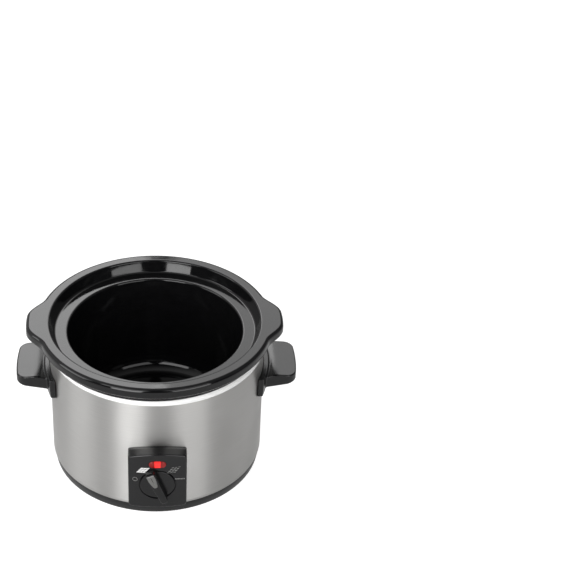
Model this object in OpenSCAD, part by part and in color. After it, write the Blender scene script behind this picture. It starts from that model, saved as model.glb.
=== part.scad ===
// Electric chocolate melting pot. A glazed crock lifts out of a heated steel
// housing with a black base, two side handles and a control panel.
// Lengths are in millimetres and angles in degrees. The origin is the middle
// of the circle that the pot stands on. +X points to the right handle, -Y to
// the control panel and +Z up.

/* [Housing] */
// Outside radius of the steel wrapper
shell_r = 95; // [92:0.5:105]
// Thickness of the steel wrapper
shell_wall = 0.8; // [0.6:0.1:1]
// Height of the top of the rolled rim
rim_top = 126.8; // [122:0.2:140]
// Height of the bead that the rim is rolled into
bead_h = 5.2; // [4.8:0.1:7]
// Outside radius of the wrapper's turn under the bead
rim_turn_r = 4; // [3:0.1:4.4]

/* [Base] */
// Height of the top of the black base ring
base_top = 10.8; // [10:0.1:11.5]
// Height of the base ring above the table
base_gap = 1; // [0.5:0.1:1.5]
// How far the foot of the base ring lies inside the wrapper
base_inset = 1.9; // [0.5:0.1:3]
// Thickness of the base ring's wall
base_wall = 2.5; // [2:0.1:3]
// Height of the underside of the base floor
floor_z = 4; // [3.5:0.1:4.5]
// Thickness of the base floor
floor_t = 2.5; // [2:0.1:3]
// Height of the underside of the raised middle of the floor
dome_z = 8; // [7.5:0.1:8.5]
// Radius of the raised middle of the floor, inside
dome_r = 18; // [15:0.5:20]
// Radius of a rubber foot
foot_r = 8; // [6:0.5:10]
// How far the middle of a foot lies inside the wrapper
foot_inset = 19; // [17:1:29]

/* [Heating liner] */
// Width of the space between the liner and the wrapper
liner_gap = 8.1; // [8:0.1:9]
// Thickness of the liner's sheet
liner_wall = 0.6; // [0.5:0.1:0.8]
// Height of the liner's floor, upper side
liner_floor_z = 22.5; // [22:0.1:24]
// Radius of the liner's lower corner
liner_corner_r = 8; // [5:0.5:10]
// Height of the heating band
heater_h = 36; // [30:1:38]
// Thickness of the heating band
heater_t = 1.6; // [1:0.1:1.7]
// Thickness of the glass wool round the heating band
wool_t = 3; // [2:0.1:3.2]

/* [Crock] */
// Space between the crock's wall and the liner
crock_gap = 3.5; // [2.5:0.1:6]
// Thickness of the crock's wall at the top
crock_wall = 5.2; // [4:0.1:7]
// Space between the crock's foot and the liner's floor
crock_foot_gap = 5.5; // [2:0.5:10]
// Thickness of the crock's floor
crock_floor_t = 8; // [6:0.5:12]
// Height of the crock's rim, from the seat of its neck to its top
rim_h = 16.9; // [14:0.1:20]
// Thickness of the crock's flange and lugs
flange_t = 10.2; // [8:0.1:12]
// How far the crock's rim reaches past the wrapper
rim_reach = 8.4; // [6:0.1:11]
// How far a lug reaches past the rim
lug_reach = 9.6; // [6:0.1:14]
// Depth of the lid's ledge below the top of the rim
ledge_depth = 10.5; // [8:0.1:12]
// Width of the flat of the lid's ledge
ledge_w = 8.6; // [4:0.1:10]
// Rounding of the well's edge
well_round = 1.9; // [1:0.1:5]
// Rounding of the well's floor
well_fillet = 16; // [8:0.5:24]
// How far off centre the crock has been set down
crock_shift = -1.5; // [-2:0.1:2]
// How far the crock has been set down turned
crock_turn = 1.2; // [-3:0.1:3]

/* [Handles] */
// Height of the crest of a handle
handle_z = 100.2; // [92:0.2:104]
// How far a handle reaches out of the wrapper
handle_reach = 29.6; // [24:0.1:36]
// Width of the grip
grip_w = 52.4; // [44:0.2:58]
// Width of the handle's mounting plate where it meets the wrapper
plate_w = 69; // [64:0.5:74]
// Height of the handle's mounting plate
plate_h = 19; // [17:0.2:24]
// How far the mounting plate stands out of the wrapper
plate_t = 4.4; // [3:0.1:6]

/* [Control panel] */
// Width of the control panel
panel_w = 50.4; // [48:0.2:56]
// Height of the lower edge of the panel's face
panel_z = 18.2; // [17:0.2:20]
// Height of the middle of the panel's face
panel_h = 59.4; // [58:0.2:66]
// How much the panel's top rises in the middle
panel_arch = 4.1; // [1:0.1:5]
// How far the panel stands out of the wrapper
panel_reach = 11.9; // [11.5:0.1:14]
// Thickness of the panel's walls
panel_wall = 2.5; // [2:0.1:2.8]
// Height of the knob's axis
knob_z = 44.1; // [43:0.1:45]
// Radius of the knob's disc
knob_r = 14.7; // [13.5:0.1:15]
// Length of the knob's grip
grip_l = 34.4; // [30:0.1:36]
// How far the knob's grip stands out of its disc
grip_h = 7.4; // [5:0.1:9]
// Angle of the knob as it has been left, from +X
knob_angle = 112.5; // [22.5:45:157.5]
// Height of the pilot lamp
lens_z = 66.7; // [65.5:0.1:67]
// Width of the pilot lamp's lens
lens_w = 14.8; // [12:0.1:16]
// Height of the pilot lamp's lens
lens_h = 6.8; // [6:0.1:7.4]

/* [Hidden] */
$fn = 96;

// Clearances: overrun of every cut, a loose fit of fixed pieces, a thread in
// its hole, a shaft that turns in its bearing, and a seat between bodies
cut = 1;
fit = 0.1;
thread_fit = 0.05;
shaft_fit = 0.05;
seat_gap = 0.3;

// Wrapper and liner
shell_in = shell_r - shell_wall;
liner_out = shell_in - liner_gap;
liner_r = liner_out - liner_wall;
wrapper_top = rim_top - liner_wall - fit;
skirt_in = shell_r + fit;
mouth_round = 3;
lip_in = liner_out + mouth_round + fit;

// Base tray
tray_ledge = 1;
tray_out = shell_r - fit;
upstand_r = shell_in - seat_gap;
upstand_t = 2.5;
upstand_z = base_top + 6.2;
floor_top = floor_z + floor_t;
dome_top = dome_z + floor_t;
rib_count = 8;
rib_t = 1.6;
rib_h = 2;
rib_margin = 4;

// Rubber feet
foot_count = 4;
foot_circle_r = shell_r - foot_inset;
foot_bevel = 1;
foot_stem_r = 2.8;
foot_cap_r = 4.2;
foot_tip_r = 2.2;
foot_cap_h = 2;

// Tie stud and what it clamps
stud_r = 3;
stud_plate_r = 9;
stud_plate_t = 1.2;
stud_end = 1.8;
nut_af = 10;
nut_h = 4.5;
washer_r = 7;
washer_t = 1;
spacer_r = 6;
upper_spacer_r = 8;
tag_r = 6;
tag_t = 0.8;
tag_l = 15;
tag_w = 5;
shield_gap = 13.4;
shield_t = 0.5;
shield_lip = 2.5;
shield_rise = 7;
shield_hole_r = 3.5;
shield_hole_at = [9.5, 31];
stud_top = liner_floor_z - liner_wall;
plate_z = stud_top - stud_plate_t;
shield_z = dome_top + shield_rise;
shield_r = upstand_r - upstand_t - shield_gap;
tag_z = plate_z - tag_t;

// Heating band, its clamp and the glass wool
heater_rise = 11.5;
heater_z = liner_floor_z + heater_rise;
heater_in = liner_out + thread_fit;
heater_r = heater_in + heater_t;
heater_open = 28;
tab_w = 6;
tab_l = 5;
tab_t = 0.8;
clamp_t = 0.5;
clamp_w = 10;
clamp_at = -60;
clamp_open = 4;
clamp_in = heater_r + thread_fit;
clamp_out = clamp_in + clamp_t;
ear_t = 1;
ear_h = 4.8;
ear_hole_r = 1.4;
clamp_screw_r = 1.25;
clamp_head_r = 2.2;
clamp_head_h = 1.6;
clamp_spare = 1.2;
clamp_mid_z = heater_z + heater_h / 2 - tab_l;
clamp_axis_r = clamp_out + ear_h / 2;
clamp_ear_at = clamp_axis_r * sin(clamp_open / 2);
wool_in = clamp_out + fit;
wool_r = wool_in + wool_t;
wool_lower = 1;
wool_from = -46;
wool_to = 242;

// Thermal fuse on the liner's wall
fuse_at = 60;
fuse_r = 2;
fuse_l = 11;
fuse_pin_r = 0.6;
fuse_pin_l = 3.5;
fuse_seat = 0.5;
fuse_above = 9;
fuse_z = heater_z + heater_h + fuse_above;
fuse_axis_r = liner_out + fuse_seat + fuse_r;
clip_w = 7;
clip_depth = 5.4;
clip_h = 7;

// Crock
crock_body_r = liner_r - crock_gap;
crock_taper = 3;
crock_base_r = crock_body_r - crock_taper;
crock_corner_r = 12;
foot_ring_w = 9;
foot_ring_h = 1.5;
neck_fillet = 2;
neck_reach = 1.8;
neck_round = 1;
flange_fillet = 1.5;
rim_under_round = 3;
rim_top_round = 2.6;
step_round = 2;
step_fillet = 2;
step_lean = 22;
well_taper = 2.3;
lug_base_angle = 19.5;
lug_tip_angle = 5;
lug_steps = 8;
lug_root = 6;
crock_rim_r = shell_r + rim_reach;
crock_under = rim_top + seat_gap;
crock_top = crock_under + rim_h;
flange_z = crock_top - flange_t;
neck_r = shell_r + neck_reach;
crock_foot = liner_floor_z + crock_foot_gap;
crock_floor = crock_foot + crock_floor_t;
ledge_z = crock_top - ledge_depth;
well_r = crock_body_r - crock_wall;
ledge_in = well_r + well_round;
ledge_out = ledge_in + ledge_w;

// Handles
grip_root_drop = 1.6;
grip_tip_drop = 1.2;
grip_root_t = 12;
grip_tip_t = 8.4;
grip_crest_share = 0.34;
grip_round = 8;
grip_bulge = 2;
grip_edge = 1.4;
plate_rise = 2.9;
plate_taper = 0.6;
plate_taper_h = 8;
plate_edge = 1;
handle_screw_angle = 9.5;
handle_screw_r = 1.9;
handle_screw_l = 11;
handle_head_r = 3.4;
handle_head_h = 2.2;
handle_washer_r = 4.5;
handle_washer_t = 0.8;
grip_root_z = handle_z - grip_root_drop;
plate_top = grip_root_z + plate_rise;
plate_z0 = plate_top - plate_h;
plate_r = shell_r + plate_t;
handle_screw_z = grip_root_z - grip_root_t / 2;
handle_tip = shell_r + handle_reach;
handle_head_out = shell_in - fit - handle_washer_t - thread_fit;

// Control panel
panel_r = shell_r + panel_reach;
panel_in_r = panel_r - panel_wall;
panel_back_r = shell_r + fit;
panel_top_corner = 2;
panel_low_corner = 3;
panel_drop = 7;
window_w = 33;
window_low = 6;
window_high = 24;
boss_r = 3.2;
boss_side = 5.9;
boss_low = 8.5;
boss_high = 46.5;
panel_screw_r = 1.4;
panel_screw_l = 8.5;
panel_head_r = 2.6;
panel_head_h = 1.8;
panel_hole_r = 1.6;
boss_zs = [panel_z + boss_low, panel_z + boss_high];
boss_angle = asin((panel_w / 2 - boss_side) / shell_r);
boss_ats = [-90 - boss_angle, -90 + boss_angle];

// Knob and its recess
recess_gap = 1.15;
recess_depth = 2.1;
pad_margin = 1.3;
disc_sink = 0.3;
disc_bevel = 0.5;
grip_head_w = 8.6;
grip_tail_w = 6.4;
grip_overhang = 17.4;
pointer_l = 14;
pointer_w = 7.4;
pointer_tip_r = 1.6;
pointer_t = 0.8;
pointer_margin = 0.7;
pointer_groove = 0.7;
hub_wall = 1.4;
recess_y = panel_r - recess_depth;
disc_back = recess_y + seat_gap;
disc_front = panel_r - disc_sink;
grip_front = disc_front + grip_h;
pad_back = recess_y - panel_wall;
pad_r = knob_r + recess_gap + pad_margin;

// Rotary switch and its spindle
spindle_r = 2.5;
spindle_flat = 1.7;
spindle_end = 2.2;
nose_r = 4.4;
nose_short = 0.1;
switch_w = 24;
switch_d = 12.4;
ear_reach = 5;
switch_ear_t = 2;
switch_ear_h = 9;
switch_screw_x = 14.3;
switch_screw_r = 1.2;
switch_screw_deep = 1.9;
switch_head_r = 2.1;
switch_head_h = 1.5;
cam_room_r = 8.4;
cam_room_from = 2.6;
cam_room_to = 10.6;
cam_r = 7.6;
cam_t = 3.5;
blade_w = 6.3;
blade_t = 0.8;
blade_l = 7;
blade_x = 6;
blade_in = 2.5;
switch_front = pad_back - fit;
switch_back = switch_front - switch_d;

// Pilot lamp
lens_proud = 0.5;
lens_gap = 0.1;
lens_flange = 1.3;
lens_flange_t = 0.9;
lens_wall = 1.1;
lens_deep = 5.8;
lens_front_t = 2;
lamp_r = 1.8;
lamp_l = 8.4;
lamp_pin_r = 0.4;
lamp_pin_l = 1.1;
holder_w = 21;
holder_h = 8.6;
holder_t = 4;
holder_leg = 1.2;
lens_seat = sqrt(pow(panel_in_r, 2) - pow(lens_w / 2 + lens_flange, 2)) - lens_gap;
lens_back = panel_r + lens_proud - lens_deep;
holder_front = lens_seat - lens_flange_t - lens_gap;
lamp_y = holder_front;

// Cord gland and terminal block at the rear
gland_z = 22;
gland_bore_r = 3.5;
gland_stub_r = 6;
gland_stub_l = 6.5;
gland_flange_r = 9.5;
gland_flange_t = 3.4;
gland_cap_r = 8.4;
gland_tail_r = 5.9;
gland_l = 18.8;
gland_nut_af = 16.5;
gland_nut_t = 3;
gland_nut_back = 0.6;
notch_side = 1.2;
block_size = [26, 12, 8.6];
block_y = 58;
block_way = 8;
block_bore_r = 1.6;
block_bore_z = 4;
block_screw_r = 1.5;
block_screw_l = 3;
block_screw_head_r = 2;
block_screw_head_h = 1;
rail_t = 1.5;
rail_h = 3;

// Inner leads, each a route of round numbers through the base and the
// space round the liner, and the number of spans between two of its points
lead_r = 1.1;
lamp_lead_r = 0.6;
lead_sides = 6;
lead_spans = 3;
live_route = [
    [-8, 51.8, 10.5], [-10, 46, 10], [-22, 30, 9], [-25, 5, 9], [-24, -25, 9],
    [-16, -58, 9], [-8, -80, 11], [-6, -88, 15.5], [-6, -89.8, 20], [-6, -91.6, 24.4]
];
neutral_route = [
    [0, 51.8, 10.5], [2, 46, 9], [20, 34, 8.2], [26, 10, 8.6], [28, -20, 9],
    [27, -52, 9], [25.5, -76, 11.5], [24.6, -84.2, 17], [24.4, -85.2, 23], [24.4, -85.1, 28.6]
];
heater_route = [
    [6, -92.2, 63.8], [10, -91.2, 68], [22, -87, 73.5], [40, -80.5, 75], [62, -65.5, 76],
    [79, -43.5, 77], [88.5, -17, 77], [89.2, 12, 77], [81, 38.5, 77], [66, 60, 79], [54, 71, 82.5],
    [52.6, 71.8, 83]
];
return_route = [
    [36.2, 81.4, 83], [33, 83, 82], [12, 89.2, 77], [-17, 88.5, 77], [-44, 78.8, 77], [-66, 61.5, 77],
    [-82.5, 36.5, 77], [-89.9, 7, 77], [-87, -23, 77], [-74, -51.4, 77], [-54, -72, 78],
    [-36, -82.4, 80], [-27, -85.2, 79], [-24.4, -85.1, 76]
];
earth_route = [
    [8, 51.8, 10.5], [9, 46, 11.5], [9.5, 39, 13], [9.5, 33.5, 15.5], [9.3, 29.5, 19],
    [8, 24, 20], [4, 19, 20], [0, 16.4, 19.6]
];
lamp_routes = [
    [[-4.5, -98.2, 65.6], [-5.2, -96, 65.2], [-6.4, -94, 64.6], [-7.6, -92.4, 63.9]],
    [[4.5, -98.2, 65.6], [5, -96.6, 66.2], [6.4, -95.2, 65.4], [7.4, -94.2, 62.6]]
];

// Points of an arc about a centre
function arc(centre, r, from, to, steps) =
    [for (i = [0:steps]) let (a = from + (to - from) * i / steps)
        centre + r * [cos(a), sin(a)]];

// Direction of a route at a point, and its rings' first directions, each
// turned as little as possible from the one before
function unit(v) = v / norm(v);
function heading(p, i) = unit(p[min(i + 1, len(p) - 1)] - p[max(i - 1, 0)]);
function across(v, t) = unit(v - (v * t) * t);
function sides_of(p) = [
    for (i = 0, u = across([1, 1, 1], heading(p, 0));
         i < len(p);
         i = i + 1, u = i < len(p) ? across(u, heading(p, i)) : u) u
];

// A smooth run through the points of a route
function between(a, b, c, d, t) =
    b + t * (c - a) / 2 + t * t * (a - 2.5 * b + 2 * c - d / 2)
    + t * t * t * (3 * b - 3 * c + d - a) / 2;
function smooth(p) = let (last = len(p) - 1) concat(
    [for (i = [0:last - 1], k = [0:lead_spans - 1])
        between(p[max(i - 1, 0)], p[i], p[i + 1], p[min(i + 2, last)], k / lead_spans)],
    [p[last]]
);

// A lead of one radius along a route
module lead(route, r) {
    p = smooth(route);
    u = sides_of(p);
    n = lead_sides;
    last = len(p) - 1;
    points = [for (i = [0:last]) let (w = cross(heading(p, i), u[i]))
        for (k = [0:n - 1]) p[i] + r * (cos(360 * k / n) * u[i] + sin(360 * k / n) * w)];
    walls = [for (i = [0:last - 1], k = [0:n - 1]) let (a = i * n + k, b = i * n + (k + 1) % n)
        each [[a, a + n, b], [b, a + n, b + n]]];
    first_cap = [[for (k = [0:n - 1]) k]];
    last_cap = [[for (k = [n - 1:-1:0]) last * n + k]];
    polyhedron(points, concat(walls, first_cap, last_cap));
}

// A tube or disc standing on a height
module ring(z, h, r_out, r_in) {
    translate([0, 0, z]) difference() {
        cylinder(h = h, r = r_out);
        translate([0, 0, -cut]) cylinder(h = h + 2 * cut, r = r_in);
    }
}

// Children along a radius of the housing, their own +Z pointing outwards
module radial(angle, r, z) {
    rotate([0, 0, angle]) translate([r, 0, z]) rotate([0, 90, 0]) children();
}

// Children on the front, their own +Z pointing to the front, +Y up
module front(x, z, depth) {
    translate([x, -depth, z]) rotate([90, 0, 0]) children();
}

// A flat shape with round ends
module stadium(w, h) {
    for (side = [-1, 1]) translate([side * (w - h) / 2, 0]) circle(d = h);
    square([w - h, h], center = true);
}

// A pan-headed screw, the head below the origin and the shank above it
module screw(r, l, head_r, head_h) {
    cylinder(h = l, r = r);
    translate([0, 0, -head_h]) cylinder(h = head_h, r1 = head_r * dome_share, r2 = head_r);
}
dome_share = 0.7;

// Brushed stainless wrapper. Its top is turned in under the rolled rim.
module outer_shell() {
    color("silver") difference() {
        rotate_extrude() polygon(concat(
            [[shell_in, base_top], [shell_r, base_top]],
            arc([shell_r - rim_turn_r, wrapper_top - rim_turn_r], rim_turn_r, 0, 90, 6),
            [[lip_in, wrapper_top], [lip_in, wrapper_top - shell_wall]],
            arc([shell_r - rim_turn_r, wrapper_top - rim_turn_r], rim_turn_r - shell_wall, 90, 0, 6)
        ));
        translate([-window_w / 2, -shell_r - cut, panel_z + window_low])
            cube([window_w, shell_r / 2, knob_z + window_high - panel_z - window_low]);
        for (at = boss_ats, z = boss_zs)
            radial(at, shell_in - cut, z) cylinder(h = shell_wall + 2 * cut, r = panel_hole_r);
        for (side = [0, 180], turn = [-1, 1])
            radial(side + turn * handle_screw_angle, shell_in - cut, handle_screw_z)
                cylinder(h = shell_wall + 2 * cut, r = handle_screw_r + fit);
        radial(90, shell_in - cut - gland_nut_back, gland_z)
            cylinder(h = shell_wall + 2 * cut + gland_nut_back, r = gland_stub_r + fit);
    }
}

// Bright liner with its floor. Its mouth is rolled over the wrapper's top.
module heating_liner() {
    c = liner_corner_r;
    m = mouth_round;
    turn = [shell_r - rim_turn_r, wrapper_top - rim_turn_r];
    color("gainsboro") rotate_extrude() polygon(concat(
        [[0, stud_top]],
        arc([liner_out - c, stud_top + c], c, -90, 0, 6),
        arc([liner_out + m, rim_top - liner_wall - m], m, 180, 90, 4),
        arc(turn, rim_turn_r + fit, 90, 0, 6),
        [[skirt_in, rim_top - bead_h], [skirt_in + liner_wall, rim_top - bead_h]],
        arc(turn, rim_turn_r + fit + liner_wall, 0, 90, 6),
        arc([liner_out + m, rim_top - liner_wall - m], m + liner_wall, 90, 180, 4),
        arc([liner_out - c, stud_top + c], c - liner_wall, 0, -90, 6),
        [[0, liner_floor_z]]
    ));
}

// Black moulded base: ring, floor, raised middle and an upstand in the wrapper
module base_tray() {
    ring_in = shell_r - base_inset - base_wall;
    color([0.1, 0.1, 0.1]) difference() {
        union() {
            rotate_extrude() polygon([
                [stud_r + seat_gap, dome_z], [dome_r, dome_z], [dome_r, floor_z],
                [ring_in - base_gap, floor_z], [ring_in, base_gap],
                [shell_r - base_inset, base_gap], [tray_out, base_top],
                [upstand_r, base_top], [upstand_r, upstand_z],
                [upstand_r - upstand_t, upstand_z], [upstand_r - upstand_t, floor_top],
                [dome_r + floor_t, floor_top], [dome_r + floor_t, dome_top],
                [stud_r + seat_gap, dome_top]
            ]);
            for (i = [0:rib_count - 1]) rotate([0, 0, (i + 0.5) * 360 / rib_count])
                translate([dome_r, -rib_t / 2, floor_z - rib_h])
                    cube([ring_in - rib_margin - dome_r, rib_t, rib_h + floor_t / 2]);
            for (side = [-1, 1])
                translate([-block_size.x / 2, block_y + side * (block_size.y / 2 + fit + rail_t / 2)
                    - rail_t / 2, floor_top - floor_t / 2])
                    cube([block_size.x, rail_t, rail_h + floor_t / 2]);
        }
        for (i = [0:foot_count - 1]) rotate([0, 0, (i + 0.5) * 360 / foot_count])
            translate([foot_circle_r, 0, 0]) {
                translate([0, 0, -cut]) cylinder(h = floor_z + cut, r = foot_r + seat_gap);
                cylinder(h = floor_top + cut, r = foot_stem_r + fit);
            }
        translate([-gland_nut_af / 2 - notch_side, upstand_r / 2, gland_z - gland_nut_af / 2 - notch_side])
            cube([gland_nut_af + 2 * notch_side, upstand_r / 2 + cut, gland_nut_af]);
    }
}

// Four feet, each pushed through the floor as far as its cap
module rubber_feet() {
    color([0.16, 0.16, 0.17]) for (i = [0:foot_count - 1]) rotate([0, 0, (i + 0.5) * 360 / foot_count])
        translate([foot_circle_r, 0, 0]) {
            cylinder(h = foot_bevel, r1 = foot_r - foot_bevel, r2 = foot_r);
            translate([0, 0, foot_bevel]) cylinder(h = floor_z - foot_bevel, r = foot_r);
            cylinder(h = floor_top, r = foot_stem_r);
            translate([0, 0, floor_top]) cylinder(h = foot_cap_h, r1 = foot_cap_r, r2 = foot_tip_r);
        }
}

// Outline of the panel seen from the front, drawn in by a wall
function panel_outline(inset) =
    let (
        half = panel_w / 2 - inset,
        low = panel_z - panel_drop + inset,
        bow = (pow(panel_w / 2, 2) + pow(panel_arch, 2)) / (2 * panel_arch),
        rc = max(panel_top_corner - inset, panel_top_corner / 2),
        mid = panel_z + panel_h - bow,
        end = asin((half - rc) / (bow - inset - rc)),
        top_c = (bow - inset - rc) * [sin(end), cos(end)] + [0, mid]
    ) concat(
        [[-half, low], [half, low]],
        arc(top_c, rc, 0, 90 - end, 3),
        arc([0, mid], bow - inset, 90 - end, 90 + end, 12),
        arc([-top_c.x, top_c.y], rc, 90 + end, 180, 3)
    );

// What is cut from the panel to round its lower corners, along its underside
module panel_low_corners() {
    r = panel_low_corner;
    for (side = [-1, 1]) translate([side * (panel_w / 2 - r + fit), -panel_r, panel_z])
        rotate([atan(panel_reach / panel_drop), 0, 0]) translate([0, r - fit, -panel_w])
            linear_extrude(2 * panel_w) difference() {
                translate([side < 0 ? -r - cut : 0, -r - cut]) square(r + cut);
                circle(r = r);
            }
}

// Moulded panel: a hollow box that follows the wrapper, with an arched top
module control_panel() {
    color([0.13, 0.13, 0.13]) difference() {
        union() {
            difference() {
                intersection() {
                    front(0, 0, 0) linear_extrude(panel_r + cut) polygon(panel_outline(0));
                    cylinder(h = 2 * (panel_z + panel_h), r = panel_r);
                }
                difference() {
                    intersection() {
                        front(0, 0, 0) linear_extrude(panel_r) polygon(panel_outline(panel_wall));
                        cylinder(h = 2 * (panel_z + panel_h), r = panel_in_r);
                    }
                    panel_underside(panel_wall);
                }
            }
            intersection() {
                union() {
                    front(0, knob_z, pad_back) cylinder(h = panel_reach / 2, r = pad_r);
                    for (at = boss_ats, z = boss_zs)
                        radial(at, panel_back_r, z) cylinder(h = panel_reach - panel_wall / 2, r = boss_r);
                }
                cylinder(h = panel_z + panel_h, r = panel_r - panel_wall / 2);
            }
        }
        translate([0, 0, -cut]) cylinder(h = panel_z + panel_h + 2 * cut, r = panel_back_r);
        panel_underside(0);
        panel_low_corners();
        front(0, knob_z, recess_y) cylinder(h = panel_reach, r = knob_r + recess_gap);
        front(0, knob_z, shell_r) cylinder(h = panel_reach, r = nose_r + fit);
        for (side = [-1, 1]) front(side * switch_screw_x, knob_z, pad_back - cut)
            cylinder(h = switch_screw_deep + cut, r = switch_screw_r + thread_fit);
        front(0, lens_z, shell_r) linear_extrude(panel_reach + cut)
            stadium(lens_w + 2 * lens_gap, lens_h + 2 * lens_gap);
        for (at = boss_ats, z = boss_zs)
            radial(at, shell_r, z) cylinder(h = panel_screw_l, r = panel_screw_r + thread_fit);
    }
}

// Space under the slope from the panel's lower edge back to the base ring,
// raised by the thickness of a wall for the panel's hollow
module panel_underside(raised) {
    slope = panel_drop / panel_reach;
    low = panel_z - panel_drop + raised;
    rotate([90, 0, 90]) translate([0, 0, -panel_w]) linear_extrude(2 * panel_w) polygon([
        [-shell_r + panel_reach, low - panel_drop], [-panel_r - cut, low + panel_drop + cut * slope],
        [-panel_r - cut, -cut], [-shell_r + panel_reach, -cut]
    ]);
}

// Screws that hold the panel from inside the wrapper
module panel_screws() {
    color("silver") for (at = boss_ats, z = boss_zs)
        radial(at, shell_in - fit, z) screw(panel_screw_r, panel_screw_l, panel_head_r, panel_head_h);
}

// Red cap of the pilot lamp, hollow behind its thick front
module indicator_lens() {
    color([0.85, 0.1, 0.08, 0.8]) difference() {
        union() {
            front(0, lens_z, lens_back) linear_extrude(lens_deep) stadium(lens_w, lens_h);
            front(0, lens_z, lens_seat - lens_flange_t) linear_extrude(lens_flange_t)
                stadium(lens_w + 2 * lens_flange, lens_h + 2 * lens_flange);
        }
        front(0, lens_z, lens_back - cut) linear_extrude(lens_deep - lens_front_t + cut)
            stadium(lens_w - 2 * lens_wall, lens_h - 2 * lens_wall);
    }
}

// Neon lamp: a glass tube with a wire at each end
module indicator_lamp() {
    color([1, 0.5, 0.3, 0.7]) translate([0, -lamp_y, lens_z]) rotate([0, 90, 0]) {
        cylinder(h = lamp_l, r = lamp_r, center = true);
        cylinder(h = lamp_l + 2 * lamp_pin_l, r = lamp_pin_r, center = true);
    }
}

// Clip behind the panel that holds the lamp against the lens
module lamp_holder() {
    color([0.9, 0.9, 0.86]) difference() {
        union() {
            translate([-holder_w / 2, -holder_front, lens_z - holder_h / 2])
                cube([holder_w, holder_t, holder_h]);
            for (side = [-1, 1])
                translate([side * (holder_w - holder_leg) / 2 - holder_leg / 2,
                    -holder_front - lens_flange_t, lens_z - holder_h / 2])
                    cube([holder_leg, lens_flange_t + holder_t / 2, holder_h]);
        }
        front(0, lens_z, lens_back - lens_gap) linear_extrude(lens_deep)
            stadium(lens_w + 2 * lens_gap, lens_h + 2 * lens_gap);
        translate([0, -lamp_y, lens_z]) rotate([0, 90, 0])
            cylinder(h = lamp_l + 2 * lamp_pin_l + 2 * fit, r = lamp_r + thread_fit, center = true);
    }
}

// Four-position switch behind the panel, with blades for the leads
module rotary_switch() {
    color([0.85, 0.84, 0.8]) difference() {
        union() {
            translate([-switch_w / 2, -switch_front, knob_z - switch_w / 2])
                cube([switch_w, switch_d, switch_w]);
            translate([-switch_w / 2 - ear_reach, -switch_front, knob_z - switch_ear_h / 2])
                cube([switch_w + 2 * ear_reach, switch_ear_t, switch_ear_h]);
            front(0, knob_z, switch_front) cylinder(h = recess_y - switch_front - nose_short, r = nose_r);
            for (x = [-blade_x, blade_x], up = [-1, 1])
                translate([x - blade_w / 2, -switch_back - blade_in - blade_t / 2,
                    knob_z + up * (switch_w / 2 + blade_l / 2) - blade_l / 2])
                    cube([blade_w, blade_t, blade_l]);
        }
        front(0, knob_z, switch_front - cam_room_to)
            cylinder(h = cam_room_to - cam_room_from, r = cam_room_r);
        front(0, knob_z, switch_front - cam_room_to) cylinder(h = switch_d + cut, r = spindle_r + shaft_fit);
        for (side = [-1, 1]) front(side * switch_screw_x, knob_z, switch_front - switch_ear_t - cut)
            cylinder(h = switch_ear_t + 2 * cut, r = switch_screw_r + fit);
    }
}

// Screws from behind through the switch's ears
module switch_screws() {
    color("silver") for (side = [-1, 1]) front(side * switch_screw_x, knob_z, switch_front - switch_ear_t)
        screw(switch_screw_r, switch_ear_t + switch_screw_deep, switch_head_r, switch_head_h);
}

// Right handle. A grip with a crest along it grows out of a mounting plate
// that hugs the wrapper.
module handle() {
    crest = plate_t + (handle_reach - plate_t) * grip_crest_share;
    tip_z = handle_z - grip_tip_drop;
    side_view = [
        [0, grip_root_z], [plate_r, grip_root_z], [shell_r + crest, handle_z],
        [handle_tip - grip_edge, tip_z], [handle_tip, tip_z - grip_edge],
        [handle_tip, tip_z - grip_tip_t + 2 * grip_edge],
        [handle_tip - 2 * grip_edge, tip_z - grip_tip_t],
        [plate_r, grip_root_z - grip_root_t], [0, grip_root_z - grip_root_t]
    ];
    half = grip_w / 2;
    tip_bow = (pow(half, 2) + pow(grip_bulge, 2)) / (2 * grip_bulge);
    corner = [handle_tip - grip_round - grip_bulge / 2, half - grip_round];
    color([0.12, 0.12, 0.12]) difference() {
        union() {
            intersection() {
                rotate([90, 0, 0]) linear_extrude(grip_w, center = true) polygon(side_view);
                rotate([90, 0, 90]) linear_extrude(handle_tip) polygon([
                    [-half, 0], [half, 0], [half, grip_root_z - grip_edge], [half - grip_edge, handle_z],
                    [grip_edge - half, handle_z], [-half, grip_root_z - grip_edge]
                ]);
                linear_extrude(handle_z) {
                    translate([0, -half]) square([corner.x, grip_w]);
                    for (side = [-1, 1]) translate([corner.x, side * corner.y]) circle(r = grip_round);
                    intersection() {
                        translate([handle_tip - tip_bow, 0]) circle(r = tip_bow);
                        translate([0, -corner.y]) square([handle_tip, 2 * corner.y]);
                    }
                }
            }
            mounting_plate();
        }
        translate([0, 0, -cut]) cylinder(h = 2 * handle_z, r = shell_r + fit);
        for (turn = [-1, 1]) radial(turn * handle_screw_angle, shell_r, handle_screw_z)
            cylinder(h = handle_screw_l, r = handle_screw_r + thread_fit);
    }
}

// Plate between grip and wrapper. Its ends lean in and its lower edge tapers.
module mounting_plate() {
    root = [sqrt(pow(shell_r, 2) - pow(plate_w / 2, 2)), plate_w / 2];
    lean = 2 * plate_t + grip_edge;
    intersection() {
        rotate_extrude() polygon([
            [root.x / 2, plate_z0], [plate_r - plate_taper, plate_z0], [plate_r, plate_z0 + plate_taper_h],
            [plate_r, plate_top - plate_edge], [plate_r - plate_edge, plate_top], [root.x / 2, plate_top]
        ]);
        linear_extrude(plate_top) polygon([
            [0, 0], [root.x, -root.y], [root.x + lean, lean - root.y],
            [root.x + lean, root.y - lean], [root.x, root.y]
        ]);
    }
}

module handle_right() { handle(); }

module handle_left() { rotate([0, 0, 180]) handle(); }

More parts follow.
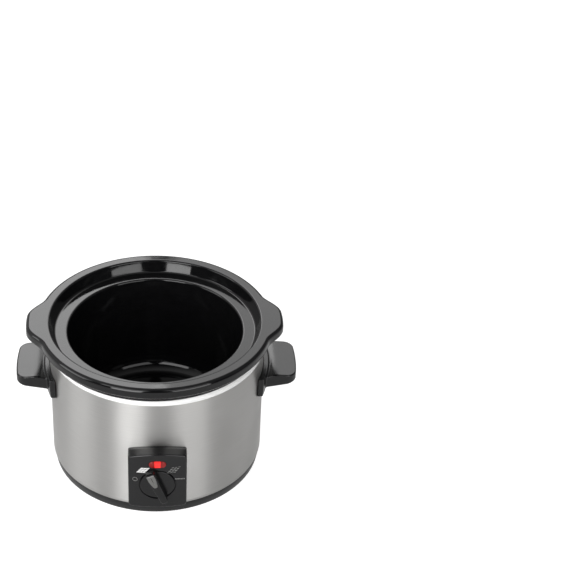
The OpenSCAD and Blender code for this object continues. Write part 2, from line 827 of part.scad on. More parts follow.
// Screws through the wrapper into the handles, and the washers under them
module handle_screws() {
    color("silver") for (side = [0, 180], turn = [-1, 1])
        radial(side + turn * handle_screw_angle, handle_head_out, handle_screw_z)
            screw(handle_screw_r, handle_screw_l, handle_head_r, handle_head_h);
}

module handle_washers() {
    color("gray") for (side = [0, 180], turn = [-1, 1])
        radial(side + turn * handle_screw_angle, handle_head_out + thread_fit, handle_screw_z)
            ring(0, handle_washer_t, handle_washer_r, handle_screw_r + fit);
}

// Mica heating band round the liner, open at the front, with an end tab
// below it on the right and above it on the left
module heater_band() {
    color([0.72, 0.68, 0.58]) {
        rotate([0, 0, -90 + heater_open / 2]) rotate_extrude(angle = 360 - heater_open)
            translate([heater_in, heater_z]) square([heater_t, heater_h]);
        for (side = [-1, 1]) rotate([0, 0, -90 + side * (heater_open / 2 + 2)])
            translate([heater_r - tab_t, -tab_w / 2,
                side > 0 ? heater_z - tab_l : heater_z + heater_h - tab_l])
                cube([2 * tab_t, tab_w, 2 * tab_l]);
    }
}

// Steel strap that pulls the band tight, with two ears for its screw
module band_clamp() {
    color("gray") rotate([0, 0, clamp_at + clamp_open / 2]) {
        rotate_extrude(angle = 360 - clamp_open)
            translate([clamp_in, clamp_mid_z - clamp_w / 2]) square([clamp_t, clamp_w]);
    }
    color("gray") rotate([0, 0, clamp_at]) for (side = [-1, 1]) difference() {
        translate([clamp_out - clamp_t / 2, side * (clamp_ear_at + ear_t / 2) - ear_t / 2,
            clamp_mid_z - clamp_w / 2])
            cube([ear_h + clamp_t / 2, ear_t, clamp_w]);
        translate([clamp_axis_r, 0, clamp_mid_z]) rotate([90, 0, 0])
            cylinder(h = 4 * clamp_ear_at, r = ear_hole_r, center = true);
    }
}

// Places children on the clamp screw's axis, +Z along it from the head
module clamp_axis() {
    rotate([0, 0, clamp_at]) translate([clamp_axis_r, -clamp_ear_at - ear_t, clamp_mid_z])
        rotate([-90, 0, 0]) children();
}

module clamp_screw() {
    color("silver") clamp_axis()
        screw(clamp_screw_r, 2 * (clamp_ear_at + ear_t) + clamp_head_h + clamp_spare,
            clamp_head_r, clamp_head_h);
}

module clamp_nut() {
    color("silver") clamp_axis() translate([0, 0, 2 * (clamp_ear_at + ear_t)]) difference() {
        cylinder(h = clamp_head_h, r = clamp_head_r, $fn = 6);
        translate([0, 0, -cut])
            cylinder(h = clamp_head_h + 2 * cut, r = clamp_screw_r + thread_fit, $fn = 24);
    }
}

// Glass wool round the band, left open at the front for the leads
module insulation_wrap() {
    color([0.93, 0.91, 0.82]) rotate([0, 0, wool_from]) rotate_extrude(angle = wool_to - wool_from)
        translate([wool_in, heater_z - wool_lower]) square([wool_t, heater_h + 2 * wool_lower]);
}

// Fuse that cuts the heater off, lying along the liner's wall
module fuse_place() {
    rotate([0, 0, fuse_at]) translate([fuse_axis_r, 0, fuse_z]) rotate([90, 0, 0]) children();
}

module thermal_fuse() {
    color([0.75, 0.72, 0.6]) fuse_place() {
        cylinder(h = fuse_l, r = fuse_r, center = true);
        cylinder(h = fuse_l + 2 * fuse_pin_l, r = fuse_pin_r, center = true);
    }
}

module fuse_clip() {
    color("gray") difference() {
        rotate([0, 0, fuse_at]) translate([liner_out - cut, -clip_w / 2, fuse_z - clip_h / 2])
            cube([clip_depth + cut, clip_w, clip_h]);
        cylinder(h = 2 * fuse_z, r = liner_out + thread_fit);
        fuse_place() cylinder(h = 2 * clip_w, r = fuse_r + thread_fit, center = true);
    }
}

// Thin pan that keeps the liner's heat off the base
module heat_shield() {
    color("lightgray") difference() {
        rotate_extrude() polygon([
            [stud_r + fit, shield_z], [shield_r, shield_z], [shield_r, shield_z + shield_lip],
            [shield_r - shield_t, shield_z + shield_lip], [shield_r - shield_t, shield_z + shield_t],
            [stud_r + fit, shield_z + shield_t]
        ]);
        translate([shield_hole_at.x, shield_hole_at.y, shield_z - cut])
            cylinder(h = shield_t + 2 * cut, r = shield_hole_r);
    }
}

// Stud welded under the liner by its plate. It ties the base on.
module tie_stud() {
    color("silver") {
        translate([0, 0, stud_end]) cylinder(h = stud_top - stud_end, r = stud_r);
        translate([0, 0, plate_z]) cylinder(h = stud_plate_t, r = stud_plate_r);
    }
}

// Sleeves on the stud, below and above the heat shield
module stud_spacers() {
    color("gray") {
        ring(dome_top, shield_z - dome_top, spacer_r, stud_r + fit);
        ring(shield_z + shield_t, tag_z - shield_z - shield_t, upper_spacer_r, stud_r + fit);
    }
}

// Tag on the stud for the earth lead
module earth_tag() {
    color("goldenrod") difference() {
        translate([0, 0, tag_z]) {
            cylinder(h = tag_t, r = tag_r);
            translate([-tag_w / 2, 0, 0]) cube([tag_w, tag_l, tag_t]);
        }
        translate([0, 0, tag_z - cut]) cylinder(h = tag_t + 2 * cut, r = stud_r + fit);
    }
}

module tie_washer() { color("silver") ring(dome_z - washer_t, washer_t, washer_r, stud_r + fit); }

module tie_nut() {
    color("silver") translate([0, 0, dome_z - washer_t - nut_h]) difference() {
        cylinder(h = nut_h, d = nut_af / cos(30), $fn = 6);
        translate([0, 0, -cut]) cylinder(h = nut_h + 2 * cut, r = stud_r + thread_fit, $fn = 48);
    }
}

// Places of the three ways of the terminal block
module block_ways() {
    for (i = [-1:1]) translate([i * block_way, block_y, floor_top]) children();
}

// Ceramic block between two rails on the base floor
module terminal_block() {
    color("ivory") difference() {
        translate([-block_size.x / 2, block_y - block_size.y / 2, floor_top]) cube(block_size);
        block_ways() {
            translate([0, 0, block_bore_z]) rotate([90, 0, 0])
                cylinder(h = block_size.y + 2 * cut, r = block_bore_r, center = true);
            translate([0, 0, block_bore_z]) cylinder(h = block_size.z, r = block_screw_r + thread_fit);
        }
    }
}

module terminal_screws() {
    color("goldenrod") block_ways() translate([0, 0, block_size.z - block_screw_l]) {
        cylinder(h = block_screw_l, r = block_screw_r);
        translate([0, 0, block_screw_l]) cylinder(h = block_screw_head_h, r = block_screw_head_r);
    }
}

// Gland that the mains cord enters by, and its nut inside the wrapper
module cord_gland() {
    color([0.1, 0.1, 0.1]) radial(90, shell_r + thread_fit, gland_z) difference() {
        union() {
            translate([0, 0, -gland_stub_l]) cylinder(h = gland_stub_l + cut, r = gland_stub_r);
            cylinder(h = gland_flange_t, r = gland_flange_r, $fn = 6);
            cylinder(h = gland_l - gland_tail_r + gland_stub_r / 2, r = gland_cap_r);
            translate([0, 0, gland_l - gland_tail_r + gland_stub_r / 2])
                cylinder(h = gland_tail_r - gland_stub_r / 2, r1 = gland_cap_r, r2 = gland_tail_r);
        }
        translate([0, 0, -gland_stub_l - cut])
            cylinder(h = gland_l + gland_stub_l + 2 * cut, r = gland_bore_r);
    }
}

module gland_nut() {
    color([0.1, 0.1, 0.1]) radial(90, shell_in - gland_nut_back - gland_nut_t, gland_z) difference() {
        cylinder(h = gland_nut_t, d = gland_nut_af / cos(30), $fn = 6);
        translate([0, 0, -cut]) cylinder(h = gland_nut_t + 2 * cut, r = gland_stub_r + thread_fit, $fn = 48);
    }
}

// Leads inside the housing
module live_lead() { color("saddlebrown") lead(live_route, lead_r); }

module neutral_lead() { color("royalblue") lead(neutral_route, lead_r); }

module heater_lead() { color("white") lead(heater_route, lead_r); }

module return_lead() { color("white") lead(return_route, lead_r); }

module earth_lead() { color("yellowgreen") lead(earth_route, lead_r); }

module lamp_leads() { color("white") for (route = lamp_routes) lead(route, lamp_lead_r); }

// Section of the crock, from the middle of its foot round to its floor
function crock_section() =
    let (
        crest = [well_r + well_round + ledge_w + step_out(), crock_top - step_round],
        n = [cos(180 - step_lean), sin(180 - step_lean)],
        fillet_c = [ledge_out, ledge_z + step_fillet]
    ) concat(
        [[0, crock_foot + foot_ring_h],
         [crock_base_r - crock_corner_r - foot_ring_w, crock_foot + foot_ring_h],
         [crock_base_r - crock_corner_r - foot_ring_w + foot_ring_h, crock_foot]],
        arc([crock_base_r - crock_corner_r, crock_foot + crock_corner_r], crock_corner_r, -90, 0, 6),
        arc([crock_body_r + neck_fillet, crock_under - neck_fillet], neck_fillet, 180, 90, 3),
        arc([neck_r - neck_round, crock_under + neck_round], neck_round, -90, 0, 3),
        arc([neck_r + flange_fillet, flange_z - flange_fillet], flange_fillet, 180, 90, 3),
        arc([crock_rim_r - rim_under_round, flange_z + rim_under_round], rim_under_round, -90, 0, 5),
        arc([crock_rim_r - rim_top_round, crock_top - rim_top_round], rim_top_round, 0, 90, 5),
        arc(crest, step_round, 90, 180 - step_lean, 4),
        arc(fillet_c, step_fillet, -step_lean, -90, 4),
        arc([ledge_in, ledge_z - well_round], well_round, 90, 180, 6),
        arc([well_r - well_taper - well_fillet, crock_floor + well_fillet], well_fillet, 0, -90, 8),
        [[0, crock_floor]]
    );

// How far the step's upper rounding lies outside the ledge, so that the
// leaning wall between the two roundings touches both
function step_out() =
    let (drop = crock_top - step_round - ledge_z - step_fillet)
    (step_round + step_fillet + drop * sin(step_lean)) / cos(step_lean);

// Radius of a lug's edge at an angle from its middle, a smooth step
function lug_edge(a) =
    let (t = min(1, max(0, (lug_base_angle - abs(a)) / (lug_base_angle - lug_tip_angle))))
    crock_rim_r - cut / 2 + (lug_reach + cut / 2) * t * t * (3 - 2 * t);

// Black glazed stoneware crock with a stepped rim for a lid and two lugs
module crock() {
    angles = [for (i = [-2 * lug_steps:2 * lug_steps]) lug_base_angle * i / (2 * lug_steps)];
    root = crock_rim_r - lug_root;
    lug_r = crock_rim_r + lug_reach;
    color([0.06, 0.06, 0.06]) translate([crock_shift, 0, 0]) rotate([0, 0, crock_turn]) {
        rotate_extrude() polygon(crock_section());
        for (side = [0, 180]) rotate([0, 0, side]) intersection() {
            linear_extrude(2 * crock_top) polygon(concat(
                [for (a = angles) lug_edge(a) * [cos(a), sin(a)]],
                [root * [cos(lug_base_angle), sin(lug_base_angle)],
                 root * [cos(lug_base_angle), -sin(lug_base_angle)]]
            ));
            rotate_extrude() polygon(concat(
                [[root, flange_z]],
                arc([lug_r - rim_under_round, flange_z + rim_under_round], rim_under_round, -90, 0, 5),
                arc([lug_r - rim_top_round, crock_top - rim_top_round], rim_top_round, 0, 90, 5),
                [[crock_rim_r - rim_top_round, crock_top], [root, crock_top - rim_top_round]]
            ));
        }
    }
}

// Places children on the knob's axis, +Z to the front, turned to the mark
module on_knob(depth) {
    front(0, knob_z, depth) rotate([0, 0, knob_angle - 90]) children();
}

// Grip of the knob seen from the front, its head up
module grip_outline() {
    head = grip_overhang;
    tail = grip_overhang - grip_l;
    polygon(concat(
        [[-grip_head_w / 2, head - pointer_margin], [-grip_tail_w / 2, tail + grip_tail_w / 2]],
        arc([0, tail + grip_tail_w / 2], grip_tail_w / 2, 180, 360, 8),
        [[grip_head_w / 2, head - pointer_margin], [grip_head_w / 2 - pointer_margin, head],
         [pointer_margin - grip_head_w / 2, head]]
    ));
}

// Pointer seen from the front: wide at the grip's head, round at its tip
module pointer_outline(spare) {
    head = grip_overhang - pointer_margin;
    w = pointer_w / 2 + spare;
    tip = [0, head - pointer_l + pointer_tip_r];
    polygon(concat(
        [[w, head + spare], [-w, head + spare], [-w, head - pointer_l / 3]],
        arc(tip, pointer_tip_r + spare, 180, 360, 8),
        [[w, head - pointer_l / 3]]
    ));
}

// Knob: a disc in the panel's recess with a grip across it
module selector_knob() {
    disc_t = disc_front - disc_back;
    color([0.11, 0.11, 0.11]) on_knob(disc_back) difference() {
        union() {
            cylinder(h = disc_t - disc_bevel, r = knob_r);
            translate([0, 0, disc_t - disc_bevel])
                cylinder(h = disc_bevel, r1 = knob_r, r2 = knob_r - disc_bevel);
            intersection() {
                translate([0, 0, disc_t - disc_bevel]) linear_extrude(grip_h + disc_bevel) grip_outline();
                union() {
                    cylinder(h = disc_t + disc_sink + seat_gap, r = knob_r - disc_bevel);
                    translate([0, 0, disc_t + disc_sink + seat_gap]) cylinder(h = grip_h, r = grip_l);
                }
            }
        }
        translate([0, 0, disc_t + grip_h - pointer_t])
            linear_extrude(pointer_t + cut) pointer_outline(thread_fit);
        translate([0, 0, -cut]) spindle_section(disc_t + grip_h - spindle_end + cut, thread_fit);
    }
}

// Pale pointer let into the head of the grip, with a groove along it
module knob_pointer() {
    color([0.42, 0.42, 0.42]) on_knob(grip_front - pointer_t) difference() {
        linear_extrude(pointer_t) pointer_outline(0);
        translate([0, grip_overhang, pointer_t]) rotate([90, 0, 0])
            cylinder(h = pointer_l - pointer_w / 2, r = pointer_groove / 2, $fn = 24);
    }
}

// A length of the spindle's end, with a flat on its upper side
module spindle_section(h, spare) {
    intersection() {
        cylinder(h = h, r = spindle_r + spare);
        translate([-spindle_r - cut, -spindle_r - cut, 0])
            cube([2 * (spindle_r + cut), spindle_r + cut + spindle_flat + spare, h]);
    }
}

// Spindle from the switch's cam to the knob
module switch_spindle() {
    back = switch_front - cam_room_to + seat_gap;
    bearing = recess_y - back;
    color("silver") on_knob(back) {
        cylinder(h = bearing, r = spindle_r);
        translate([0, 0, (cam_room_to - cam_room_from - cam_t) / 2]) cylinder(h = cam_t, r = cam_r);
        translate([0, 0, bearing - cut])
            spindle_section(grip_front - spindle_end - seat_gap - recess_y + cut, 0);
    }
}

outer_shell();
heating_liner();
base_tray();
rubber_feet();
control_panel();
panel_screws();
indicator_lens();
indicator_lamp();
lamp_holder();
rotary_switch();
switch_screws();
handle_left();
handle_right();
handle_screws();
handle_washers();
heater_band();
band_clamp();
clamp_screw();
clamp_nut();
insulation_wrap();
thermal_fuse();
fuse_clip();
heat_shield();
tie_stud();
stud_spacers();
earth_tag();
tie_washer();
tie_nut();
terminal_block();
terminal_screws();
cord_gland();
gland_nut();
live_lead();
neutral_lead();
heater_lead();
return_lead();
earth_lead();
lamp_leads();
crock();
selector_knob();
knob_pointer();
switch_spindle();
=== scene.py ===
import math
import bmesh
import bpy
import numpy as np
from mathutils import Euler, Matrix, Vector
from mathutils.geometry import delaunay_2d_cdt


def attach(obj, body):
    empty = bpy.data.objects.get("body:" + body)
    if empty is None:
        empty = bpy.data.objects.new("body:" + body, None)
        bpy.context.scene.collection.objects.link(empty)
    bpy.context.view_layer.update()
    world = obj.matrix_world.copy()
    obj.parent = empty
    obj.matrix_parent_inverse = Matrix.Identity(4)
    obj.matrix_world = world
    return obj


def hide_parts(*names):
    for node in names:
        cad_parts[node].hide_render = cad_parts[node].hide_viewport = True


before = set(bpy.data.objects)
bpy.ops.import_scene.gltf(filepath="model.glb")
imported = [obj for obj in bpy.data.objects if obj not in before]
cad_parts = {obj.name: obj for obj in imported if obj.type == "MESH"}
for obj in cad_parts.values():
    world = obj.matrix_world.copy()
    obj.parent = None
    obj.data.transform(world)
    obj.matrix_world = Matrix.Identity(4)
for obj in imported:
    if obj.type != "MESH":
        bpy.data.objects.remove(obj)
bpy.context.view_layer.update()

# Table and studio
# A white laminate table top in soft studio light, seen as in the photograph. The
# softboxes draw the streaks and bands that show on the glaze and the steel.
MM = 0.001


def linear(hex_colour):
    """Linear RGBA of an sRGB colour written as six hex digits."""
    parts = [int(hex_colour[i:i + 2], 16) / 255 for i in (0, 2, 4)]
    return tuple(c / 12.92 if c <= 0.04045 else ((c + 0.055) / 1.055) ** 2.4 for c in parts) + (1.0,)


def add(tree, kind, links=None, **settings):
    """A new node with its settings. An input is set to a value, or joined to a socket
    or to a node's first output."""
    new = tree.nodes.new(kind)
    for key, value in settings.items():
        setattr(new, key, value)
    for key, value in (links or {}).items():
        if isinstance(value, bpy.types.Node):
            value = value.outputs[0]
        if isinstance(value, bpy.types.NodeSocket):
            tree.links.new(value, new.inputs[key])
        else:
            new.inputs[key].default_value = value
    return new


def stood(name, data):
    """An object of this name and data, put in the scene."""
    made = bpy.data.objects.new(name, data)
    bpy.context.scene.collection.objects.link(made)
    return made


def finish_called(name):
    """An empty material and its node tree."""
    finish = bpy.data.materials.new(name)
    finish.use_nodes = True
    finish.node_tree.nodes.clear()
    return finish, finish.node_tree


# Matt white laminate. Lit it is nearly white; a little glow of its own lifts it to
# the white of the background, also where metal and glaze show it.
table_white, t = finish_called("white_laminate")
seen = add(t, "ShaderNodeLightPath")
mirrored = add(t, "ShaderNodeMath", {0: seen.outputs["Is Glossy Ray"],
                                     1: seen.outputs["Is Transmission Ray"]}, operation="MAXIMUM")
glow = add(t, "ShaderNodeMath", {0: mirrored, 1: 0.32}, operation="MULTIPLY")
glow = add(t, "ShaderNodeMath", {0: seen.outputs["Is Camera Ray"], 1: 0.90, 2: glow},
           operation="MULTIPLY_ADD")
laminate = add(t, "ShaderNodeBsdfDiffuse", {"Color": linear("a4a4a4"), "Roughness": 0.0})
shine = add(t, "ShaderNodeEmission", {"Color": linear("ffffff"), "Strength": glow})
both = add(t, "ShaderNodeAddShader", {0: laminate, 1: shine})
add(t, "ShaderNodeOutputMaterial", {"Surface": both})

table_mesh = bpy.data.meshes.new("table_top")
table_mesh.from_pydata([(-3, -2.2, 0), (3, -2.2, 0), (3, 4, 0), (-3, 4, 0)], [], [(0, 1, 2, 3)])
table_mesh.materials.append(table_white)
table = stood("table_top", table_mesh)

# The photograph's camera: its place in metres, its turn about X, Y and Z in degrees
CAMERA_AT = (0, -1.14465, 0.95919)
CAMERA_ANGLES = (55.8202, -2.487, -3.8724)
lens = bpy.data.cameras.new("photo_camera")
lens.sensor_width = 36
lens.lens = 100.42
camera = stood("photo_camera", lens)
tilt = Euler([math.radians(angle) for angle in CAMERA_ANGLES]).to_matrix().to_4x4()
camera.matrix_world = Matrix.Translation(CAMERA_AT) @ tilt
bpy.context.scene.camera = camera
bpy.context.scene.view_settings.view_transform = "Standard"

room = bpy.data.worlds.new("studio_room")
bpy.context.scene.world = room
room.use_nodes = True
t = room.node_tree
t.nodes.clear()
way = add(t, "ShaderNodeTexCoord")
parts = add(t, "ShaderNodeSeparateXYZ", {0: way.outputs["Generated"]})
side = add(t, "ShaderNodeMapRange", {0: parts.outputs["X"], 1: -0.75, 2: 0.75, 3: 0.66, 4: 0.20},
           interpolation_type="SMOOTHSTEP")
rear = add(t, "ShaderNodeMapRange", {0: parts.outputs["Y"], 1: -0.62, 2: 0.05, 3: 0.02, 4: 1.0},
           interpolation_type="SMOOTHSTEP")
side = add(t, "ShaderNodeMath", {0: side, 1: rear}, operation="MULTIPLY")
# Looked at directly, the room is white all round, as behind the pot in a low view.
# Gloss and metal see it pale at the rear, more so to the left, and dark at the front.
seen = add(t, "ShaderNodeLightPath")
side = add(t, "ShaderNodeMath", {0: side, 1: seen.outputs["Is Camera Ray"]}, operation="MAXIMUM")
walls = add(t, "ShaderNodeBackground", {"Color": linear("ffffff"), "Strength": side})
add(t, "ShaderNodeOutputWorld", {"Surface": walls})


def softbox(name, place, aim, width, height, radiance, mirrored=True):
    """A rectangular lamp that shows the given brightness on its face."""
    lamp = bpy.data.lights.new(name, "AREA")
    lamp.shape = "RECTANGLE"
    lamp.size = width
    lamp.size_y = height
    lamp.energy = radiance * math.pi * width * height
    holder = stood(name, lamp)
    place, aim = Vector(place), Vector(aim)
    turn = (aim - place).to_track_quat("-Z", "Y").to_matrix().to_4x4()
    holder.matrix_world = Matrix.Translation(place) @ turn
    holder.visible_glossy = mirrored


# The two at the back show on the glaze's flat tops, the low ones at front and left as
# bands on the steel, and the two high ones at the front on the round of the rim. The
# fill only lifts the shade at the front, so nothing mirrors it.
softbox("softbox_back_left", (-0.24, 1.12, 1.05), (-0.05, 0, 0.12), 0.50, 0.62, 3.8)
softbox("softbox_back_right", (0.30, 1.12, 1.05), (0.05, 0, 0.12), 0.60, 0.62, 1.9)
softbox("softbox_front_left", (-0.66, -1.40, 0.55), (0, 0, 0.10), 0.74, 0.90, 6.2)
softbox("softbox_top_left", (-0.62, -1.0, 1.30), (0, 0, 0.10), 1.0, 0.45, 3.5)
softbox("softbox_top_right", (0.62, -1.0, 1.30), (0, 0, 0.10), 1.0, 0.45, 1.6)
softbox("softbox_front_right", (0.85, -1.40, 0.55), (0, 0, 0.10), 1.00, 0.80, 3.6)
softbox("softbox_left", (-1.6, -0.35, 0.7), (0, 0, 0.06), 0.9, 1.0, 2.7)
softbox("fill_front", (-0.2, -1.7, 1.2), (0, 0, 0.1), 1.0, 1.0, 0.6, mirrored=False)

# Base tray
# Black polypropylene moulding that closes the pot from below: a ring that shows
# under the wrapper, a ribbed floor and a raised middle that the tie stud passes.

def rounded(corners, turn=15.0, hold=0.35):
    """Points of an outline through (a, b, radius) corners, each rounded by an arc
    that has a support point on the straight at both ends."""
    points = []
    for i, (a, b, radius) in enumerate(corners):
        here = np.array((a, b), float)
        if radius <= 0 or i in (0, len(corners) - 1):
            points.append(tuple(here))
            continue
        back = np.array(corners[i - 1][:2], float) - here
        ahead = np.array(corners[i + 1][:2], float) - here
        run_back, run_ahead = np.linalg.norm(back), np.linalg.norm(ahead)
        back, ahead = back / run_back, ahead / run_ahead
        half = math.acos(max(-1, min(1, float(back @ ahead)))) / 2
        if half > math.radians(89):
            points.append(tuple(here))
            continue
        cut = radius / math.tan(half)
        middle = here + (back + ahead) / np.linalg.norm(back + ahead) * radius / math.sin(half)
        start, end = here + back * cut - middle, here + ahead * cut - middle
        swing = math.pi - 2 * half
        sense = 1 if start[0] * end[1] - start[1] * end[0] > 0 else -1
        steps = max(2, round(math.degrees(swing) / turn))
        if run_back > cut + 2.2 * hold:
            points.append(tuple(here + back * (cut + hold)))
        for k in range(steps + 1):
            w = sense * swing * k / steps
            c, s = math.cos(w), math.sin(w)
            points.append((middle[0] + c * start[0] - s * start[1],
                           middle[1] + s * start[0] + c * start[1]))
        if run_ahead > cut + 2.2 * hold:
            points.append(tuple(here + ahead * (cut + hold)))
    return points


def piece(name, points, faces, finish, crease=40.0):
    """An object made of points in millimetres, its faces turned outwards."""
    mesh = bpy.data.meshes.new(name)
    mesh.from_pydata((np.array(points, float) * MM).tolist(), [], [tuple(f) for f in faces])
    work = bmesh.new()
    work.from_mesh(mesh)
    bmesh.ops.remove_doubles(work, verts=work.verts, dist=0.002 * MM)
    bmesh.ops.recalc_face_normals(work, faces=work.faces)
    work.to_mesh(mesh)
    work.free()
    mesh.shade_smooth()
    mesh.set_sharp_from_angle(angle=math.radians(crease))
    mesh.materials.append(finish)
    return stood(name, mesh)


def rings_to_faces(rings):
    """Points and faces of a skin over rings of points; a ring of one point is a pole."""
    points, starts = [], []
    for ring in rings:
        starts.append(len(points))
        points.extend(ring)
    faces = []
    for i, j in zip(range(len(rings)), range(1, len(rings))):
        n, m = len(rings[i]), len(rings[j])
        for k in range(max(n, m)):
            k2 = (k + 1) % max(n, m)
            if n == 1:
                faces.append((starts[i], starts[j] + k2, starts[j] + k))
            elif m == 1:
                faces.append((starts[i] + k, starts[i] + k2, starts[j]))
            else:
                faces.append((starts[i] + k, starts[i] + k2, starts[j] + k2, starts[j] + k))
    return points, faces


def turned(name, outline, finish, steps):
    """A piece of revolution about Z from an outline of (radius, height) points."""
    around = np.linspace(0, 2 * math.pi, steps, endpoint=False)
    rings = []
    for r, z in outline:
        if r < 1e-6:
            rings.append([(0.0, 0.0, z)])
        else:
            rings.append([(r * math.cos(a), r * math.sin(a), z) for a in around])
    return piece(name, *rings_to_faces(rings), finish)


def settle(made):
    """Makes the object's modifiers part of a plain mesh."""
    solid = bpy.data.meshes.new_from_object(made.evaluated_get(bpy.context.evaluated_depsgraph_get()))
    made.modifiers.clear()
    made.data = solid
    return made


def softened(node, name, finish, width):
    """A copy of a CAD solid, welded and with its edges broken by a small round."""
    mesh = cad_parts[node].data.copy()
    mesh.name = name
    work = bmesh.new()
    work.from_mesh(mesh)
    bmesh.ops.remove_doubles(work, verts=work.verts, dist=0.002 * MM)
    bmesh.ops.dissolve_limit(work, angle_limit=math.radians(0.5), verts=work.verts, edges=work.edges)
    work.to_mesh(mesh)
    work.free()
    mesh.materials.clear()
    mesh.materials.append(finish)
    made = stood(name, mesh)
    edge = made.modifiers.new("broken_edge", "BEVEL")
    edge.width = width * MM
    edge.segments = 2
    edge.limit_method = "ANGLE"
    edge.angle_limit = math.radians(35)
    edge.use_clamp_overlap = True
    settle(made)
    made.data.shade_smooth()
    made.data.set_sharp_from_angle(angle=math.radians(50))
    return made


def dress(finish, *nodes):
    """Gives CAD solids whose shape is right a finish of their own."""
    for node in nodes:
        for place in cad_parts[node].material_slots:
            place.material = finish


def toned(colour, *factors):
    """The colour once for each factor, darker or lighter by it."""
    return [tuple(c * f for c in linear(colour)[:3]) + (1,) for f in factors]


def moulded(name, colour, roughness, grain_mm, depth, sheen_mm=14.0):
    """A moulded plastic: an even colour that clouds slightly, with the fine grain of
    its spark-eroded mould in the relief."""
    finish, tree = finish_called(name)
    where = add(tree, "ShaderNodeTexCoord").outputs["Object"]
    cloud = add(tree, "ShaderNodeTexNoise", {"Vector": where, "Scale": 1 / (sheen_mm * MM)})
    grain = add(tree, "ShaderNodeTexNoise", {"Vector": where, "Scale": 1 / (grain_mm * MM), "Detail": 1.0})
    dark, light = toned(colour, 0.94, 1.07)
    tone = add(tree, "ShaderNodeMix", {0: cloud, 6: dark, 7: light}, data_type="RGBA")
    gloss = add(tree, "ShaderNodeMapRange", {0: cloud, 1: 0.3, 2: 0.7, 3: roughness - 0.015,
                                             4: roughness + 0.02})
    relief = add(tree, "ShaderNodeBump", {"Height": grain, "Strength": 0.6, "Distance": depth * MM})
    body = add(tree, "ShaderNodeBsdfPrincipled", {"Base Color": tone.outputs[2], "Roughness": gloss,
                                                  "Normal": relief, "IOR": 1.5})
    add(tree, "ShaderNodeOutputMaterial", {"Surface": body})
    return finish


# Polypropylene straight from the mould: a soft satin black, a little grey where
# it turns to the light.
satin_black = moulded("satin_moulded_polypropylene", "121213", 0.34, 0.55, 0.012)

base = softened("base_tray", "base_moulding", satin_black, 0.35)
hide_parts("base_tray")
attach(base, "housing")

# Rubber feet
# Four feet of moulded thermoplastic rubber, each pushed through a hole of the
# base floor as far as its tapered cap. Geometry Nodes sets one foot four times.
FOOT_CIRCLE = 76.0


def recipe(name, inputs):
    """A Geometry Nodes tree, its named inputs and its end node."""
    tree = bpy.data.node_groups.new(name, "GeometryNodeTree")
    tree.interface.new_socket("Geometry", in_out="OUTPUT", socket_type="NodeSocketGeometry")
    for label, kind in inputs.items():
        tree.interface.new_socket(label, in_out="INPUT", socket_type="NodeSocket" + kind)
    return tree, tree.nodes.new("NodeGroupInput").outputs, tree.nodes.new("NodeGroupOutput")


def ended(tree, geometry, given, out):
    """Ends a recipe with real geometry in the finish that it is given."""
    real = add(tree, "GeometryNodeRealizeInstances", {"Geometry": geometry})
    dressed = add(tree, "GeometryNodeSetMaterial", {"Geometry": real, "Material": given["Finish"]})
    tree.links.new(dressed.outputs[0], out.inputs[0])


def grown(name, tree, values):
    """The mesh that a Geometry Nodes tree makes with these inputs, as an object."""
    made = stood(name, bpy.data.meshes.new(name))
    modifier = made.modifiers.new(name, "NODES")
    modifier.node_group = tree
    for item in tree.interface.items_tree:
        if item.in_out == "INPUT":
            modifier[item.identifier] = values[item.name]
    bpy.context.view_layer.update()
    return settle(made)


# Thermoplastic rubber: a dull charcoal that shows almost no highlight.
dull_rubber = moulded("matt_moulded_rubber", "2b2b2d", 0.78, 0.8, 0.02)

foot = turned("foot_pattern", rounded([
    (0, 0.5, 0), (4.4, 0.5, 0.5), (5.2, 0, 0.3), (8, 0, 1.0), (8, 4, 0.2), (2.8, 4, 0),
    (2.8, 6.5, 0), (4.2, 6.5, 0.3), (2.2, 8.5, 0.6), (0, 8.5, 0)], hold=0.15), dull_rubber, 48)

t, given, out = recipe("set_on_a_circle", {"Pattern": "Object", "Count": "Int", "Circle radius": "Float",
                                           "First angle": "Float", "Finish": "Material"})
circle = add(t, "GeometryNodeMeshCircle", {"Vertices": given["Count"],
                                           "Radius": given["Circle radius"]})
angle = add(t, "ShaderNodeCombineXYZ", {"Z": given["First angle"]})
set_round = add(t, "GeometryNodeTransform", {"Geometry": circle, "Rotation": angle})
pattern = add(t, "GeometryNodeObjectInfo", {"Object": given["Pattern"]})
copies = add(t, "GeometryNodeInstanceOnPoints", {"Points": set_round,
                                                 "Instance": pattern.outputs["Geometry"]})
ended(t, copies, given, out)

feet = grown("feet", t, {"Pattern": foot, "Count": 4, "Circle radius": FOOT_CIRCLE * MM,
                         "First angle": math.pi / 4, "Finish": dull_rubber})
bpy.data.objects.remove(foot)
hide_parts("rubber_feet")
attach(feet, "housing")

# Steel wrapper
# Brushed stainless sheet, 0.8 mm thick, with a window for the switch. The blank is
# rolled into a cylinder, welded at the back and turned in under the bead.
WRAP_R = 95.0
WRAP_LOW = 10.8
WRAP_TOP = 126.1
WRAP_T = 0.8
TURN_R = 4.0
LIP_IN = 89.2
WINDOW_W, WINDOW_LOW, WINDOW_TOP = 33.0, 24.2, 68.1

# Stainless steel, brushed along the sheet: fine lines that run round the pot and
# draw each reflection out into an upright band.
brushed_steel, t = finish_called("brushed_stainless_sheet")
sheet = add(t, "ShaderNodeAttribute", attribute_name="sheet_mm").outputs["Vector"]
